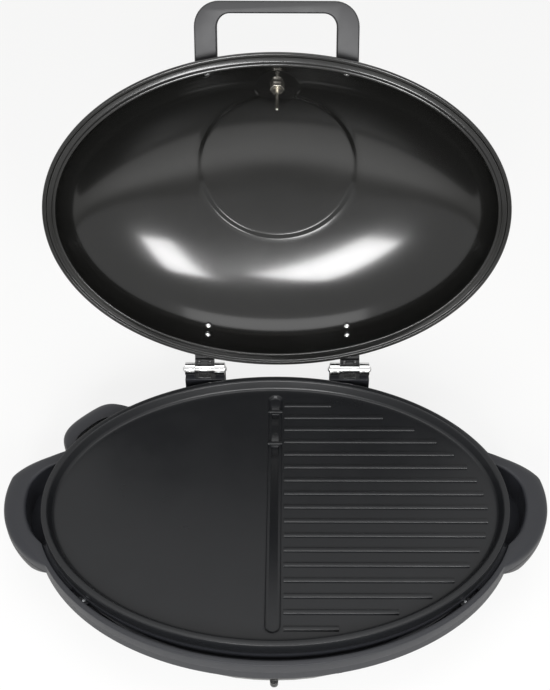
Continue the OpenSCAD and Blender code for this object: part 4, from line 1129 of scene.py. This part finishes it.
ROUNDED = (
    # the first two end below the groove round the plate
    Rounded("lower_housing", Surface.HOUSING, "base", "housing", 0.8, 66.0),
    Rounded("housing_screws", Surface.ZINC, "base", "zinc_steel", 0.2, 65.8),
    *both("hinge_block", Surface.HOUSING, "base", "housing", 0.5),
    *both("base_leaf", Surface.CHROME, "base", "chrome", 0.4),
    *both("lid_leaf", Surface.CHROME, "lid", "chrome", 0.4),
    *both("hinge_pin", Surface.CHROME, "base", "chrome", 0.4),
    *both("lid_bracket", Surface.BRACKET, "lid", "black_bracket", 0.4),
    Rounded("lid_bracket_bolts", Surface.CHROME, "lid", "chrome", 0.35),
    Rounded("lid_bracket_nuts", Surface.ZINC, "lid", "zinc_steel", 0.3),
    Rounded("lid_handle", Surface.PHENOLIC, "lid", "handle_plastic", 1.2),
    Rounded("thermometer_bezel", Surface.CHROME, "lid", "chrome", 0.5),
    Rounded("thermometer_nut", Surface.NICKEL, "lid", "nickel", 0.35),
    Rounded("drip_tray", Surface.TRAY, "drip_tray", "tray_enamel", 0.5),
    Rounded("terminal_block", Surface.STEATITE, "base", "ceramic", 0.5),
)


# ---------------------------------------------------------------- studio
@dataclass
class Studio:
    """Floor, light and camera."""
    elevation: float = 43.5
    yaw: float = -0.08
    roll: float = 0.22
    centre: Point = (12.10, -752.51, 930.55)
    focal_px: float = 1088.1
    principal: tuple[float, float] = (289.43, 345.0)
    frame_px: tuple[int, int] = (550, 690)
    sensor: float = 36.0
    floor_half: float = 6.0
    floor_white: float = 0.82
    world_level: float = 0.46
    lamps: tuple = (
        # place, what it points at, width, depth, roll, watts
        ((0.44, -1.45, 0.91), (-0.117, 0.189, 0.171), 0.28, 0.56, 0.0, 14.0),
        ((-0.23, -1.50, 0.86), (0.064, 0.194, 0.166), 0.34, 0.58, -28.0, 18.0),
        ((0.0, 0.2, 2.6), (0.0, 0.0, 0.1), 2.0, 1.4, 0.0, 19.0),
    )

    def camera(self) -> None:
        """Places the camera by its pose and its lens."""
        e, y, r = (math.radians(v) for v in (self.elevation, self.yaw, self.roll))
        back = Vector((math.sin(y) * math.cos(e), -math.cos(y) * math.cos(e), math.sin(e)))
        right = Vector((math.cos(y), math.sin(y), 0.0))
        up = back.cross(right)
        right, up = (math.cos(r) * right + math.sin(r) * up,
                     math.cos(r) * up - math.sin(r) * right)
        data = bpy.data.cameras.new("camera")
        data.sensor_fit = "VERTICAL"
        data.sensor_height = self.sensor
        data.lens = self.focal_px / self.frame_px[1] * self.sensor
        data.shift_x = -(self.principal[0] - self.frame_px[0] / 2) / self.frame_px[1]
        data.shift_y = (self.principal[1] - self.frame_px[1] / 2) / self.frame_px[1]
        cam = linked("camera", data)
        turn = Matrix((right, up, back)).transposed().to_4x4()
        cam.matrix_world = Matrix.Translation(Vector(self.centre) * MM) @ turn
        bpy.context.scene.camera = cam

    def sight(self, tree: Tree, *others: str) -> Socket:
        """A value of one for rays from the camera and for the other kinds named."""
        path = add(tree, "ShaderNodeLightPath")
        seen = path.outputs["Is Camera Ray"]
        for kind in others:
            seen = calc(tree, "MAXIMUM", seen, path.outputs[f"Is {kind} Ray"])
        return seen

    def floor(self) -> None:
        """A pale plain floor, white to the camera."""
        mesh = bpy.data.meshes.new("floor")
        s = self.floor_half
        mesh.from_pydata([(-s, -s, 0), (s, -s, 0), (s, s, 0), (-s, s, 0)], [], [(0, 1, 2, 3)])
        obj = linked("floor", mesh)
        mat = bpy.data.materials.new("Plain pale floor")
        mat.use_nodes = True
        tree = mat.node_tree
        shader = tree.nodes["Principled BSDF"]
        shader.inputs["Base Color"].default_value = srgb("#f1f1f0")
        shader.inputs["Roughness"].default_value = 0.9
        # the camera sees mostly paper white, the light still finds a floor
        white = add(tree, "ShaderNodeEmission", Strength=1.0, Color=(1, 1, 1, 1))
        share = calc(tree, "MULTIPLY", self.sight(tree, "Transmission"), self.floor_white)
        blend(tree, share, shader, white, "Material Output")
        mesh.materials.append(mat)

    def light(self) -> None:
        """Soft lamps and a pale world."""
        for number, (spot, aim, width, depth, roll, watts) in enumerate(self.lamps):
            lamp = bpy.data.lights.new(f"softbox_{number}", "AREA")
            lamp.shape = "RECTANGLE"
            lamp.size, lamp.size_y, lamp.energy = width, depth, watts
            obj = linked(lamp.name, lamp)
            way = Vector(aim) - Vector(spot)
            obj.matrix_world = (Matrix.Translation(Vector(spot))
                                @ way.to_track_quat("-Z", "Y").to_matrix().to_4x4()
                                @ Matrix.Rotation(math.radians(roll), 4, "Z"))
        world = bpy.data.worlds.new("studio")
        bpy.context.scene.world = world
        world.use_nodes = True
        tree = world.node_tree
        plain = tree.nodes["Background"]
        plain.inputs["Color"].default_value = srgb("#e6e5e2")
        plain.inputs["Strength"].default_value = self.world_level
        white = add(tree, "ShaderNodeBackground", Strength=1.0, Color=(1, 1, 1, 1))
        blend(tree, self.sight(tree, "Glossy", "Transmission"), plain, white, "World Output")

    def build(self) -> None:
        """Sets the whole stage."""
        self.camera()
        self.floor()
        self.light()
        bpy.context.scene.view_settings.view_transform = "Standard"


def main() -> None:
    """Builds each sub-assembly in order and reports it."""
    logging.basicConfig(level=logging.INFO, format="%(message)s")
    Studio().build()
    for surface, names in NODE_FINISH.items():
        for name in names:
            dress(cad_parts[name], surface)
    for solid in ROUNDED:
        dress(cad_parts[solid.node], solid.surface)
    shell = LidShell()
    shell.build()
    Hotplate().build()
    base = BaseShell()
    base.build()
    CoverScrews().build(base)
    DialTicks().build(shell)
    for solid in ROUNDED:
        soften(solid)


if __name__ == "__main__":
    main()
